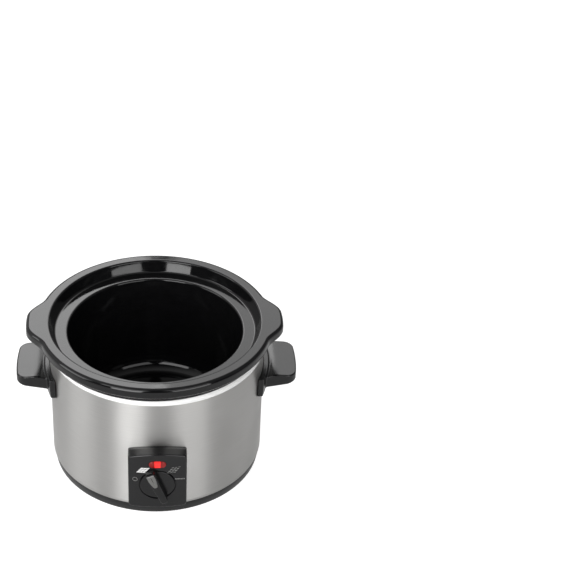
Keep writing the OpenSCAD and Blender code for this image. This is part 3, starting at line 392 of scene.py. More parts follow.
# Real grit lines are about 0.05 mm apart; here they are drawn 0.5 mm apart to show.
lines_at = add(t, "ShaderNodeMapping", {"Vector": sheet, "Scale": (0.03, 2.0, 1.0)})
lines = add(t, "ShaderNodeTexNoise", {"Vector": lines_at, "Scale": 1.0, "Detail": 3.0, "Roughness": 0.6})
patch = add(t, "ShaderNodeTexNoise", {"Vector": sheet, "Scale": 1 / 40, "Detail": 1.0})
tone = add(t, "ShaderNodeMix", {0: lines, 6: linear("bdbcba"), 7: linear("cfcecc")}, data_type="RGBA")
gloss = add(t, "ShaderNodeMapRange", {0: patch, 1: 0.3, 2: 0.7, 3: 0.34, 4: 0.40})
scratch = add(t, "ShaderNodeBump", {"Height": lines, "Strength": 0.25, "Distance": 0.02 * MM})
grainline = add(t, "ShaderNodeTangent", direction_type="RADIAL", axis="Z")
body = add(t, "ShaderNodeBsdfPrincipled", {
    "Base Color": tone.outputs[2], "Metallic": 1.0, "Roughness": gloss, "Anisotropic": 0.92,
    "Anisotropic Rotation": 0.25, "Tangent": grainline, "Normal": scratch})
add(t, "ShaderNodeOutputMaterial", {"Surface": body})

t, given, out = recipe("rolled_wrapper", {
    "Radius": "Float", "Low": "Float", "Top": "Float", "Turn radius": "Float", "Lip inside": "Float",
    "Columns": "Int", "Rows": "Int", "Window width": "Float", "Window low": "Float", "Window top": "Float",
    "Finish": "Material"})
lie = add(t, "GeometryNodeInputPosition")
flat = add(t, "ShaderNodeSeparateXYZ", {0: lie})
known = dict(given.items(), along=flat.outputs["X"], across=flat.outputs["Y"])
for result, operation, *terms in (
        # The flat blank: as long as the wrapper is round, as tall as its wall, turn and lip
        ("wall", "SUBTRACT", "Top", "Low"),
        ("straight", "SUBTRACT", "wall", "Turn radius"),
        ("quarter", "MULTIPLY", "Turn radius", math.pi / 2),
        ("mouth", "SUBTRACT", "Radius", "Turn radius"),
        ("lip", "SUBTRACT", "mouth", "Lip inside"),
        ("to the lip", "ADD", "straight", "quarter"),
        ("tall", "ADD", "to the lip", "lip"),
        ("long", "MULTIPLY", "Radius", 2 * math.pi),
        ("half tall", "MULTIPLY", "tall", 0.5),
        ("up", "ADD", "across", "half tall"),
        # Which faces lie in the window
        ("off middle", "ABSOLUTE", "along"),
        ("half window", "MULTIPLY", "Window width", 0.5),
        ("in width", "LESS_THAN", "off middle", "half window"),
        ("height", "ADD", "up", "Low"),
        ("over sill", "GREATER_THAN", "height", "Window low"),
        ("under head", "LESS_THAN", "height", "Window top"),
        ("in height", "MULTIPLY", "over sill", "under head"),
        ("in window", "MULTIPLY", "in width", "in height"),
        # How far a point is round the turn, and how far out and up that sets it
        ("past wall", "SUBTRACT", "up", "straight"),
        ("past wall only", "MAXIMUM", "past wall", 0.0),
        ("on turn", "MINIMUM", "past wall only", "quarter"),
        ("swing", "DIVIDE", "on turn", "Turn radius"),
        ("past turn", "SUBTRACT", "past wall", "quarter"),
        ("on lip", "MAXIMUM", "past turn", 0.0),
        ("swing cosine", "COSINE", "swing"),
        ("out", "MULTIPLY_ADD", "Turn radius", "swing cosine", "mouth"),
        ("rolled out", "SUBTRACT", "out", "on lip"),
        ("on wall", "MINIMUM", "up", "straight"),
        ("wall height", "ADD", "Low", "on wall"),
        ("swing sine", "SINE", "swing"),
        ("rolled up", "MULTIPLY_ADD", "Turn radius", "swing sine", "wall height"),
        # Round the pot, with the blank's middle at the front
        ("from front", "DIVIDE", "along", "Radius"),
        ("round at", "SUBTRACT", "from front", math.pi / 2),
        ("round cosine", "COSINE", "round at"),
        ("round sine", "SINE", "round at"),
        ("x", "MULTIPLY", "rolled out", "round cosine"),
        ("y", "MULTIPLY", "rolled out", "round sine")):
    known[result] = add(t, "ShaderNodeMath", {i: known.get(term, term) for i, term in enumerate(terms)},
                        operation=operation)

blank = add(t, "GeometryNodeMeshGrid", {"Size X": known["long"], "Size Y": known["tall"],
                                        "Vertices X": given["Columns"], "Vertices Y": given["Rows"]})
mm = add(t, "ShaderNodeVectorMath", {0: lie, "Scale": 1 / MM}, operation="SCALE")
marked = add(t, "GeometryNodeStoreNamedAttribute", {"Geometry": blank, "Name": "sheet_mm", "Value": mm},
             data_type="FLOAT_VECTOR", domain="POINT")
cut_out = add(t, "GeometryNodeDeleteGeometry", {"Geometry": marked, "Selection": known["in window"]},
              domain="FACE")
rolled = add(t, "ShaderNodeCombineXYZ", {"X": known["x"], "Y": known["y"], "Z": known["rolled up"]})
bent = add(t, "GeometryNodeSetPosition", {"Geometry": cut_out, "Position": rolled})
welded = add(t, "GeometryNodeMergeByDistance", {"Geometry": bent, "Distance": 0.001 * MM})
smooth = add(t, "GeometryNodeSetShadeSmooth", {"Geometry": welded, "Shade Smooth": True})
ended(t, smooth, given, out)

wrapper = grown("steel_wrapper", t, {
    "Radius": WRAP_R * MM, "Low": WRAP_LOW * MM, "Top": WRAP_TOP * MM, "Turn radius": TURN_R * MM,
    "Lip inside": LIP_IN * MM, "Columns": 361, "Rows": 49,
    "Window width": WINDOW_W * MM, "Window low": WINDOW_LOW * MM, "Window top": WINDOW_TOP * MM,
    "Finish": brushed_steel})
sheet_wall = wrapper.modifiers.new("sheet_thickness", "SOLIDIFY")
sheet_wall.thickness = WRAP_T * MM
sheet_wall.offset = -1
settle(wrapper)
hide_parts("outer_shell")
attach(wrapper, "housing")

# Heated liner
# Deep-drawn bright steel pot that takes the crock. Its mouth is rolled over the top
# of the wrapper and enamelled white there; the rest is seen when the crock is out.
BEAD_TOP, BEAD_LOW, BEAD_R = 126.8, 121.6, 95.7
LINER_R, LINER_FLOOR, LINER_T = 86.1, 22.5, 0.6
ENAMEL_FROM = 89.0

# Bright-rolled steel: mirrors softly, with the faint rings that the die left.
bright_steel, t = finish_called("bright_drawn_steel")
where = add(t, "ShaderNodeTexCoord").outputs["Object"]
rings_at = add(t, "ShaderNodeMapping", {"Vector": where, "Scale": (4.0, 4.0, 160.0)})
draw = add(t, "ShaderNodeTexNoise", {"Vector": rings_at, "Scale": 3.0})
tone = add(t, "ShaderNodeMix", {0: draw, 6: linear("dedddb"), 7: linear("efeeec")}, data_type="RGBA")
gloss = add(t, "ShaderNodeMapRange", {0: draw, 1: 0.3, 2: 0.7, 3: 0.20, 4: 0.27})
body = add(t, "ShaderNodeBsdfPrincipled", {"Base Color": tone.outputs[2], "Metallic": 1.0,
                                           "Roughness": gloss})
add(t, "ShaderNodeOutputMaterial", {"Surface": body})

# White enamel on the rolled edge only, where the crock sits down.
white_enamel, t = finish_called("white_enamelled_edge")
body = add(t, "ShaderNodeBsdfPrincipled", {"Base Color": linear("fbfbfa"), "Roughness": 0.2, "IOR": 1.5})
add(t, "ShaderNodeOutputMaterial", {"Surface": body})

liner = turned("liner_and_bead", rounded([
    (0, LINER_FLOOR - LINER_T, 0), (LINER_R, LINER_FLOOR - LINER_T, 8.0),
    (LINER_R, BEAD_TOP - LINER_T, 3.0), (BEAD_R - LINER_T, BEAD_TOP - LINER_T, 3.6),
    (BEAD_R - LINER_T, BEAD_LOW, 0), (BEAD_R, BEAD_LOW, 0),
    (BEAD_R, BEAD_TOP, 4.2), (LINER_R - LINER_T, BEAD_TOP, 3.6), (LINER_R - LINER_T, LINER_FLOOR, 7.4),
    (0, LINER_FLOOR, 0)], turn=10, hold=0.2), bright_steel, 240)
liner.data.materials.append(white_enamel)
for face in liner.data.polygons:
    face.material_index = int(face.center.xy.length > ENAMEL_FROM * MM)
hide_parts("heating_liner")
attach(liner, "housing")

# Heating gear
# Mica heating band strapped round the liner under glass wool, with a thermal fuse in
# its clip above it. They are shut in between liner and wrapper.


def metal(name, colour, roughness, mottle_mm):
    """A bare or plated metal part, its gloss clouded by handling and plating."""
    finish, tree = finish_called(name)
    where = add(tree, "ShaderNodeTexCoord").outputs["Object"]
    cloud = add(tree, "ShaderNodeTexNoise", {"Vector": where, "Scale": 1 / (mottle_mm * MM), "Detail": 3.0})
    dark, light = toned(colour, 0.82, 1)
    tone = add(tree, "ShaderNodeMix", {0: cloud, 6: dark, 7: light}, data_type="RGBA")
    gloss = add(tree, "ShaderNodeMapRange", {0: cloud, 1: 0.25, 2: 0.75, 3: roughness + 0.07,
                                             4: roughness - 0.05})
    body = add(tree, "ShaderNodeBsdfPrincipled", {"Base Color": tone.outputs[2], "Metallic": 1.0,
                                                  "Roughness": gloss})
    add(tree, "ShaderNodeOutputMaterial", {"Surface": body})
    return finish


# Mica laminate: tawny flakes, about 4 mm across, that glint a little.
mica, t = finish_called("pressed_mica_laminate")
where = add(t, "ShaderNodeTexCoord").outputs["Object"]
flakes = add(t, "ShaderNodeTexVoronoi", {"Vector": where, "Scale": 1 / (4 * MM)})
flake = add(t, "ShaderNodeSeparateColor", {0: flakes.outputs["Color"]})
tone = add(t, "ShaderNodeMix", {0: flake.outputs[0], 6: linear("8f8468"), 7: linear("b9ad8c")},
           data_type="RGBA")
gloss = add(t, "ShaderNodeMapRange", {0: flake.outputs[1], 3: 0.35, 4: 0.65})
body = add(t, "ShaderNodeBsdfPrincipled", {"Base Color": tone.outputs[2], "Roughness": gloss,
                                           "IOR": 1.58})
add(t, "ShaderNodeOutputMaterial", {"Surface": body})

# Needled glass wool: matt white. Its fibres are finer than a picture shows, so they
# are drawn as flat tufts, 1.6 mm long and 0.4 mm high.
glass_wool, t = finish_called("needled_glass_wool")
where = add(t, "ShaderNodeTexCoord").outputs["Object"]
tufts_at = add(t, "ShaderNodeMapping", {"Vector": where, "Scale": (1, 1, 4)})
tufts = add(t, "ShaderNodeTexNoise", {"Vector": tufts_at, "Scale": 1 / (1.6 * MM), "Detail": 5.0,
                                      "Distortion": 2.0})
tone = add(t, "ShaderNodeMix", {0: tufts, 6: linear("cfcbbd"), 7: linear("f4f1e6")}, data_type="RGBA")
fluff = add(t, "ShaderNodeBump", {"Height": tufts, "Strength": 0.9, "Distance": 0.5 * MM})
body = add(t, "ShaderNodeBsdfPrincipled", {"Base Color": tone.outputs[2], "Roughness": 0.95,
                                           "Normal": fluff})
add(t, "ShaderNodeOutputMaterial", {"Surface": body})

# Zinc-plated steel: cool grey, softly mottled. Brass: warm and a little glossier.
zinc_plate = metal("zinc_plated_steel", "c3c8cc", 0.34, 3.0)
turned_brass = metal("turned_brass", "c9a64e", 0.3, 4.0)
# Steatite: chalk-white fired ceramic. Thermoset: cream, from a polished mould.
steatite = moulded("fired_steatite", "ece8dd", 0.55, 0.5, 0.01)
cream_thermoset = moulded("moulded_thermoset", "d9d1b8", 0.35, 0.7, 0.008)

dress(mica, "heater_band")
dress(glass_wool, "insulation_wrap")
dress(zinc_plate, "band_clamp", "clamp_screw", "clamp_nut", "fuse_clip", "heat_shield", "tie_stud",
      "stud_spacers", "earth_tag", "tie_washer", "tie_nut", "panel_screws", "switch_screws",
      "handle_screws", "handle_washers", "switch_spindle")
dress(steatite, "thermal_fuse")
dress(cream_thermoset, "rotary_switch", "lamp_holder", "terminal_block")
dress(turned_brass, "terminal_screws")

# Inner wiring
# Leads of stranded copper in silicone, 2.2 mm across and 1.2 mm at the lamp. They join
# terminal block, switch, fuse, heating band, lamp and tie stud, and are shut in.


def sleeving(name, colour):
    """Extruded insulation: an even colour, a satin gloss and faint draw lines."""
    return moulded(name, colour, 0.45, 1.2, 0.01)


dress(sleeving("brown_extruded_silicone", "5b3420"), "live_lead")
dress(sleeving("blue_extruded_silicone", "2d4f9c"), "neutral_lead")
dress(sleeving("white_extruded_silicone", "dcd9d0"), "heater_lead", "return_lead", "lamp_leads")
dress(sleeving("green_extruded_silicone", "6f9a2c"), "earth_lead")

# Cord gland
# Black nylon gland and its nut in the rear wall: a hexagon that grips the sheet and
# a cap that tapers to the bore for the mains cord.

# Moulded nylon: black, with a soft gloss.
nylon_black = moulded("moulded_nylon", "1a1a1b", 0.36, 0.6, 0.01)
gland = softened("cord_gland", "cord_gland_body", nylon_black, 0.4)
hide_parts("cord_gland")
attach(gland, "housing")
dress(nylon_black, "gland_nut")

# Side handles
# Black phenolic mouldings, screwed on from inside: a plate that hugs the wrapper, and
# a grip with soft edges that rises to a crest, joined to its plate by a small fillet.
GRIP_HALF = 26.2
HANDLE_TIP = 124.6
PLATE_R = 99.9
PLATE_HALF = 34.5
PLATE_LOW, PLATE_TOP = 82.5, 101.5
ROOT_TOP, ROOT_LOW = 98.6, 86.6
CREST = (105.1, 100.2)
TIP_TOP, TIP_LOW = 99.0, 90.6
# A rough blank is drawn on to the form: its voxels, the rounds and the longest step
VOXEL, ROUNDS, REACH = 0.48, 5, 1.5
BLANK_ROUND = 9.0


def inside_both(a, b, radius):
    """Distance to what two forms share, its edge rounded."""
    u, v = np.maximum(a + radius, 0), np.maximum(b + radius, 0)
    return np.minimum(-radius, np.maximum(a, b)) + np.hypot(u, v)


def joined(a, b, radius):
    """Distance to two forms together, with a fillet between them."""
    u, v = np.maximum(radius - a, 0), np.maximum(radius - b, 0)
    return np.maximum(radius, np.minimum(a, b)) - np.hypot(u, v)


def over_line(a, b, start, end):
    """Distance of (a, b) to the left of the line from start to end."""
    da, db = end[0] - start[0], end[1] - start[1]
    return ((b - start[1]) * da - (a - start[0]) * db) / math.hypot(da, db)


def handle_form(p):
    """Distance of points to the surface of the right handle, less than zero inside."""
    x, y, z = p.T
    wide, out = np.abs(y), np.hypot(x, y)
    bow = (GRIP_HALF ** 2 + 2 ** 2) / 4
    plan = inside_both(np.hypot(x - HANDLE_TIP + bow, y) - bow, wide - GRIP_HALF, 8.0)
    top = inside_both(over_line(x, z, (PLATE_R, ROOT_TOP), CREST),
                      over_line(x, z, CREST, (HANDLE_TIP - 1.4, TIP_TOP)), 1.6)
    under = -over_line(x, z, (PLATE_R, ROOT_LOW), (HANDLE_TIP - 2.8, TIP_LOW))
    grip = inside_both(inside_both(top, plan, 1.2), under, 1.6)
    face = np.maximum(out - PLATE_R,
                      -over_line(out, z, (PLATE_R - 0.6, PLATE_LOW), (PLATE_R, PLATE_LOW + 8)))
    plate = inside_both(face, np.maximum(z - PLATE_TOP, PLATE_LOW - z), 0.8)
    plate = inside_both(plate, wide - PLATE_HALF, 0.9)
    return inside_both(joined(grip, plate, 1.6), WRAP_R + 0.1 - out, 0.25)


def prism(plan, low, high):
    """A closed block over a plan, between two heights given for each of its points."""
    n = len(plan)
    points = [(x, y, low(x, y)) for x, y in plan] + [(x, y, high(x, y)) for x, y in plan]
    return points, [tuple(range(n))[::-1], tuple(range(n, 2 * n))] + [
        (i, (i + 1) % n, n + (i + 1) % n, n + i) for i in range(n)]


def settle_on(made, form):
    """Moves every point of a mesh onto the surface where the form's distance is zero."""
    mesh = made.data
    count = len(mesh.vertices)
    p = np.empty(count * 3)
    mesh.vertices.foreach_get("co", p)
    p = p.reshape(-1, 3) / MM
    pairs = np.empty(len(mesh.edges) * 2, int)
    mesh.edges.foreach_get("vertices", pairs)
    one, two = pairs.reshape(-1, 2).T
    degree = np.bincount(one, minlength=count) + np.bincount(two, minlength=count)
    step = 0.01 * np.eye(3)
    for k in range(ROUNDS):
        if k:
            near = np.zeros_like(p)
            np.add.at(near, one, p[two])
            np.add.at(near, two, p[one])
            p += 0.5 * (near / degree[:, None] - p)
        for _ in range(3):
            d = form(p)
            slope = np.stack([(form(p + s) - form(p - s)) / 0.02 for s in step], 1)
            length = np.maximum((slope ** 2).sum(1), 0.25)
            p -= np.clip(d / length, -REACH, REACH)[:, None] * slope
    mesh.vertices.foreach_set("co", (p * MM).ravel())
    mesh.update()


def arc(middle, radius, start, end, steps):
    """Points of an arc between two angles in degrees."""
    return [(middle[0] + radius * math.cos(math.radians(start + (end - start) * k / steps)),
             middle[1] + radius * math.sin(math.radians(start + (end - start) * k / steps)))
            for k in range(steps + 1)]


# Compression-moulded phenolic: a deep black with a half gloss, its skin very slightly
# wavy, so highlights have soft edges.
phenolic = moulded("moulded_phenolic", "0b0b0c", 0.19, 0.9, 0.002, sheen_mm=24.0)

lean, end = (math.degrees(math.asin(PLATE_HALF / r)) for r in (WRAP_R + 0.3, PLATE_R))
blocks = [
    prism(arc((0, 0), PLATE_R, -end, end, 24) + arc((0, 0), WRAP_R + 0.3, lean, -lean, 24),
          lambda x, y: PLATE_LOW, lambda x, y: PLATE_TOP),
    prism([(96.5, -GRIP_HALF)] + arc((HANDLE_TIP - 9.5, BLANK_ROUND - GRIP_HALF), BLANK_ROUND, -90, 0, 6)
          + arc((HANDLE_TIP - 9.5, GRIP_HALF - BLANK_ROUND), BLANK_ROUND, 0, 90, 6) + [(96.5, GRIP_HALF)],
          lambda x, y: ROOT_LOW + 4 * max(0, x - PLATE_R) / 22.4, lambda x, y: ROOT_TOP + 0.9)]
points, faces = [], []
for block_points, block_faces in blocks:
    faces += [tuple(len(points) + i for i in f) for f in block_faces]
    points += block_points
right_handle = piece("handle_right_moulding", points, faces, phenolic)
blank = right_handle.modifiers.new("blank", "REMESH")
blank.mode = "VOXEL"
blank.voxel_size = VOXEL * MM
settle(right_handle)
settle_on(right_handle, handle_form)
right_handle.data.shade_smooth()
left_mesh = right_handle.data.copy()
left_mesh.transform(Matrix.Rotation(math.pi, 4, "Z"))
left_handle = stood("handle_left_moulding", left_mesh)
for made, node in ((right_handle, "handle_right"), (left_handle, "handle_left")):
    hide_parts(node)
    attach(made, "housing")

# Crock
# Slip-cast stoneware, glazed black but for its foot ring, with a ledge for a lid. Its
# flange stands on a neck and grows out into two lugs. It is set down a little off centre.
FOOT_Z, WELL_FLOOR, NECK_LOW, LEDGE_Z, FLANGE_LOW, CROCK_TOP = 28, 36, 127.1, 133.5, 133.8, 144
NECK_R, UNDER_ROUND, TOP_ROUND = 96.8, 3.0, 3.4
RIM_R, LUG_R = 103.4, 113.0
LUG_BASE, LUG_TIP = 19.5, 5.0
SET_DOWN, SET_TURN = -1.5, 1.2


def crock_outline(reach):
    """Outline of the crock where its flange reaches this far."""
    return [
        (0, FOOT_Z + 1.5), (58, FOOT_Z + 1.5), (59.5, FOOT_Z), (66, FOOT_Z)] + arc(
        (67, FOOT_Z + 12), 12, -85, 0, 7) + [
        (79.2, 47), (81.9, 123)] + arc((84, NECK_LOW - 2), 2, 180, 90, 4) + [
        (84.6, NECK_LOW), (95.3, NECK_LOW)] + arc((NECK_R - 1, NECK_LOW + 1), 1, -90, 0, 4) + [
        (NECK_R, 128.6), (NECK_R, 131.8)] + arc((NECK_R + 1.5, FLANGE_LOW - 1.5), 1.5, 180, 90, 5) + [
        (98.7, FLANGE_LOW), (reach - 3.5, FLANGE_LOW)] + arc(
        (reach - UNDER_ROUND, FLANGE_LOW + UNDER_ROUND), UNDER_ROUND, -90, 0, 8) + [
        (reach, 137.2), (reach, 140.2)] + arc(
        (reach - TOP_ROUND, CROCK_TOP - TOP_ROUND), TOP_ROUND, 0, 90, 9) + [
        (reach - 3.9, CROCK_TOP), (98.6, CROCK_TOP), (94.8, CROCK_TOP)] + arc(
        (94.24, CROCK_TOP - 2), 2, 90, 158, 6) + [
        (92.2, 140.7), (89.4, 136.1)] + arc((87.3, LEDGE_Z + 2), 2, -22, -90, 6) + [
        (86.7, LEDGE_Z), (79.2, LEDGE_Z)] + arc((78.7, LEDGE_Z - 1.9), 1.9, 90, 180, 6) + [
        (76.78, 131.0), (74.6, 54)] + arc((58.5, WELL_FLOOR + 16), 16, 0, -90, 10) + [
        (57.5, WELL_FLOOR), (20, WELL_FLOOR), (0, WELL_FLOOR)]


# Black gloss glaze on stoneware: a deep mirror, lightly uneven from the fire. The
# foot ring was wiped bare and shows the pale biscuit.
glaze, t = finish_called("black_fired_glaze")
where = add(t, "ShaderNodeTexCoord").outputs["Object"]
place = add(t, "ShaderNodeSeparateXYZ", {0: where})
drip = add(t, "ShaderNodeTexNoise", {"Vector": where, "Scale": 1 / (7 * MM), "Detail": 1.0})
speck = add(t, "ShaderNodeTexNoise", {"Vector": where, "Scale": 1 / (1.5 * MM), "Detail": 3.0})
edge_at = add(t, "ShaderNodeMath", {0: drip, 1: 1.2 * MM, 2: (FOOT_Z + 0.4) * MM}, operation="MULTIPLY_ADD")
bare = add(t, "ShaderNodeMath", {0: place.outputs["Z"], 1: edge_at}, operation="LESS_THAN")
glazed = add(t, "ShaderNodeMix", {0: drip, 6: linear("0a0a0b"), 7: linear("121213")}, data_type="RGBA")
biscuit = add(t, "ShaderNodeMix", {0: speck, 6: linear("a8957c"), 7: linear("cbbba3")}, data_type="RGBA")
tone = add(t, "ShaderNodeMix", {0: bare, 6: glazed.outputs[2], 7: biscuit.outputs[2]}, data_type="RGBA")
glaze_gloss = add(t, "ShaderNodeMapRange", {0: drip, 1: 0.3, 2: 0.7, 3: 0.06, 4: 0.11})
gloss = add(t, "ShaderNodeMix", {0: bare, 2: glaze_gloss, 3: 0.9})
ripple = add(t, "ShaderNodeBump", {"Height": drip, "Strength": 0.5, "Distance": 0.05 * MM})
crackle = add(t, "ShaderNodeBump", {"Height": speck, "Strength": 0.25, "Distance": 0.006 * MM,
                                    "Normal": ripple})
body = add(t, "ShaderNodeBsdfPrincipled", {"Base Color": tone.outputs[2], "IOR": 1.46,
                                           "Roughness": gloss, "Normal": crackle})
add(t, "ShaderNodeOutputMaterial", {"Surface": body})

plain, lugged = (np.array(crock_outline(r)) for r in (RIM_R, LUG_R))
lug_turn = np.radians(np.linspace(-LUG_BASE - 1, LUG_BASE + 1, 65))
between = np.radians(np.linspace(LUG_BASE + 1, 179 - LUG_BASE, 113))[1:-1]
around = np.concatenate([lug_turn, between, lug_turn + math.pi, between + math.pi])
off = np.degrees(np.abs((around + math.pi / 2) % math.pi - math.pi / 2))
share = np.clip((LUG_BASE - off) / (LUG_BASE - LUG_TIP), 0, 1)
share = share * share * (3 - 2 * share)
rings = []
for (r0, z), (r1, _) in zip(plain, lugged):
    if r0 < 1e-6:
        rings.append([(SET_DOWN, 0.0, z)])
    else:
        r = r0 + share * (r1 - r0)
        spin = around + math.radians(SET_TURN)
        rings.append(list(zip(r * np.cos(spin) + SET_DOWN, r * np.sin(spin), np.full(len(r), z))))
crock = piece("glazed_crock", *rings_to_faces(rings), glaze, crease=60)
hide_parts("crock")
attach(crock, "crock")

# Control panel
# Black ABS moulding, curved to fit the wrapper and screwed on from inside. Its top
# is arched, its underside slopes back to the base, and it is sunk round the knob.
PANEL_R = 106.9
PANEL_HALF = 25.2
PANEL_LOW, PANEL_CORNER, PANEL_MID = 18.2, 73.5, 77.6
PANEL_DROP, PANEL_GAP, PANEL_T = 7.0, 0.15, 1.1
PANEL_DEPTH = PANEL_R - WRAP_R - PANEL_GAP
EDGE_R = 1.2
KNOB_Z, RECESS_R, RECESS_ROUND, RECESS_FLOOR, HOLE_R = 44.1, 16.2, 0.35, 104.8, 4.5
LENS_Z, LENS_W, LENS_H, LENS_BACK = 66.7, 14.8, 6.8, 104.2


def inset(loop, by):
    """A closed outline, counter-clockwise, drawn in by a distance."""
    p = np.array(loop, float)
    ahead, back = np.roll(p, -1, 0) - p, p - np.roll(p, 1, 0)
    ahead /= np.linalg.norm(ahead, axis=1)[:, None]
    back /= np.linalg.norm(back, axis=1)[:, None]
    normal = np.stack([-(ahead + back)[:, 1], (ahead + back)[:, 0]], 1)
    normal /= np.linalg.norm(normal, axis=1)[:, None]
    share = np.clip((normal * np.stack([-ahead[:, 1], ahead[:, 0]], 1)).sum(1), 0.5, 1)
    return p + normal * (by / share)[:, None]


def within(points, loop):
    """Which points lie inside a closed outline."""
    x, y = np.array(points, float).T
    p = np.array(loop, float)
    hit = np.zeros(len(x), bool)
    for (x0, y0), (x1, y1) in zip(p, np.roll(p, -1, 0)):
        if y0 != y1:
            hit ^= ((y0 > y) != (y1 > y)) & (x < (x1 - x0) * (y - y0) / (y1 - y0) + x0)
    return hit


def filled(outer, holes, spacing):
    """Triangles that fill an outline round its holes, with points inside at a spacing.
    The first points are those of the outlines, in order."""
    loops = [np.array(outer, float)] + [np.array(h, float) for h in holes]
    low, high = loops[0].min(0), loops[0].max(0)
    grid = np.stack(np.meshgrid(np.arange(low[0], high[0], spacing), np.arange(low[1], high[1], spacing)),
                    -1).reshape(-1, 2)
    grid = grid[within(grid, inset(loops[0], spacing * 0.5))]
    for h in loops[1:]:
        grid = grid[~within(grid, inset(h, -spacing * 0.6))]
    points = np.concatenate(loops + [grid])
    edges, start = [], 0
    for loop in loops:
        edges += [(start + k, start + (k + 1) % len(loop)) for k in range(len(loop))]
        start += len(loop)
    found, _, faces, origin, _, _ = delaunay_2d_cdt([Vector(p) for p in points], edges, [], 0, 1e-6)
    found = np.array([tuple(v) for v in found])
    names = [o[0] for o in origin]
    faces = [tuple(names[i] for i in f) for f in faces]
    middles = np.array([points[list(f)].mean(0) for f in faces])
    keep = within(middles, loops[0])
    for h in loops[1:]:
        keep &= ~within(middles, h)
    return points, [f for f, k in zip(faces, keep) if k]


def evenly(loop, spacing):
    """A closed outline with points added so that none lie further apart than spacing."""
    out = []
    for a, b in zip(loop, list(loop[1:]) + [loop[0]]):
        gap = math.dist(a, b)
        n = max(1, math.ceil(gap / spacing))
        if gap > 1e-4:
            out += [(a[0] + (b[0] - a[0]) * k / n, a[1] + (b[1] - a[1]) * k / n) for k in range(n)]
    return out


def slot_shape(wide, tall):
    """Outline of a slot with round ends, counter-clockwise."""
    r = tall / 2
    return arc((wide / 2 - r, 0), r, -90, 90, 10) + arc((r - wide / 2, 0), r, 90, 270, 10)


bow_r = (PANEL_HALF ** 2 + (PANEL_MID - PANEL_CORNER) ** 2) / (2 * (PANEL_MID - PANEL_CORNER))
arch = [(x, PANEL_MID - bow_r + math.sqrt(bow_r ** 2 - x * x)) for x in np.linspace(21, -21, 29)]
edge_loop = evenly(rounded([(0, PANEL_LOW, 0), (PANEL_HALF, PANEL_LOW, 3.0),
                            (PANEL_HALF, PANEL_CORNER, 2.4)]
                           + [(x, z, 0) for x, z in arch]
                           + [(-PANEL_HALF, PANEL_CORNER, 2.4), (-PANEL_HALF, PANEL_LOW, 3.0),
                              (0, PANEL_LOW, 0)], turn=12)[:-1], 2.2)
recess = arc((0, KNOB_Z), RECESS_R, 0, 360, 96)[:-1]
opening = [(x, z + LENS_Z) for x, z in evenly(slot_shape(LENS_W + 0.8, LENS_H + 0.8), 1.2)]
slot_inner = [(x, z + LENS_Z) for x, z in evenly(slot_shape(LENS_W + 0.2, LENS_H + 0.2), 1.2)]


def at_front(x, z, r):
    """The point over (x, z) on a cylinder round the pot's axis, to the front."""
    return (x, -math.sqrt(max(r * r - x * x, 0)), z)


points, faces = [], []


def add_loop(loop, depth_of):
    """Adds a closed ring of points; depth_of gives each point's place."""
    start = len(points)
    points.extend(depth_of(x, z) for x, z in loop)
    return list(range(start, len(points)))


def wall(one, two):
    """Quads between two rings of points."""
    n = len(one)
    faces.extend((one[k], one[(k + 1) % n], two[(k + 1) % n], two[k]) for k in range(n))


flat_points, flat_faces = filled(inset(edge_loop, EDGE_R + 0.3), [recess, opening], 2.4)
points.extend(at_front(x, z, PANEL_R) for x, z in flat_points)
faces.extend(flat_faces)
n_edge = len(edge_loop)
last = list(range(n_edge))
for k in range(7):
    a = math.radians(15 * k)
    ring = inset(edge_loop, EDGE_R * (1 - math.sin(a)))
    new = add_loop(ring, lambda x, z: at_front(x, z, PANEL_R - EDGE_R * (1 - math.cos(a))))
    wall(last, new)
    last = new
p = np.array(edge_loop)
way = np.roll(p, -1, 0) - np.roll(p, 1, 0)
facing_down = np.clip((way[:, 0] / np.linalg.norm(way, axis=1) - 0.05) / 0.9, 0, 1)
facing_down[p[:, 1] > PANEL_LOW + 4] = 0
for depth in (2.0, 5.0, 8.5, PANEL_DEPTH):
    new = []
    for (x, z), down in zip(edge_loop, facing_down):
        front_y, back_y = math.sqrt(PANEL_R ** 2 - x * x), math.sqrt((WRAP_R + PANEL_GAP) ** 2 - x * x)
        share = (depth - EDGE_R) / (PANEL_DEPTH - EDGE_R)
        y = (front_y - EDGE_R) * (1 - share) + back_y * share
        new.append(len(points))
        points.append((x, -y, z - down * PANEL_DROP * share))
    wall(last, new)
    last = new
n_recess, n_open = len(recess), len(opening)
last = list(range(n_edge, n_edge + n_recess))
for a in (math.radians(30), math.radians(60), math.radians(90)):
    depth = RECESS_ROUND * (1 - math.cos(a))
    new = add_loop(arc((0, KNOB_Z), RECESS_R - RECESS_ROUND * math.sin(a), 0, 360, 96)[:-1],
                   lambda x, z: at_front(x, z, PANEL_R - depth))
    wall(last, new)
    last = new
for radius, y in ((RECESS_R - 0.35, RECESS_FLOOR + 0.2), (RECESS_R - 0.45, RECESS_FLOOR + 0.07),
                  (RECESS_R - 0.7, RECESS_FLOOR), (10, RECESS_FLOOR), (HOLE_R, RECESS_FLOOR),
                  (HOLE_R, RECESS_FLOOR - 2.2)):
    new = add_loop(arc((0, KNOB_Z), radius, 0, 360, 96)[:-1],
                   lambda x, z: (x, -min(y, math.sqrt(PANEL_R ** 2 - x * x) - 0.45), z))
    wall(last, new)
    last = new
last = list(range(n_edge + n_recess, n_edge + n_recess + n_open))
for share, depth in ((0.5, 0.04), (0.87, 0.15), (1.0, 0.3), (1.0, 3.4)):
    new = add_loop([(x0 + (x1 - x0) * share, z0 + (z1 - z0) * share)
                    for (x0, z0), (x1, z1) in zip(opening, slot_inner)],
                   lambda x, z: at_front(x, z, PANEL_R - depth))
    wall(last, new)
    last = new

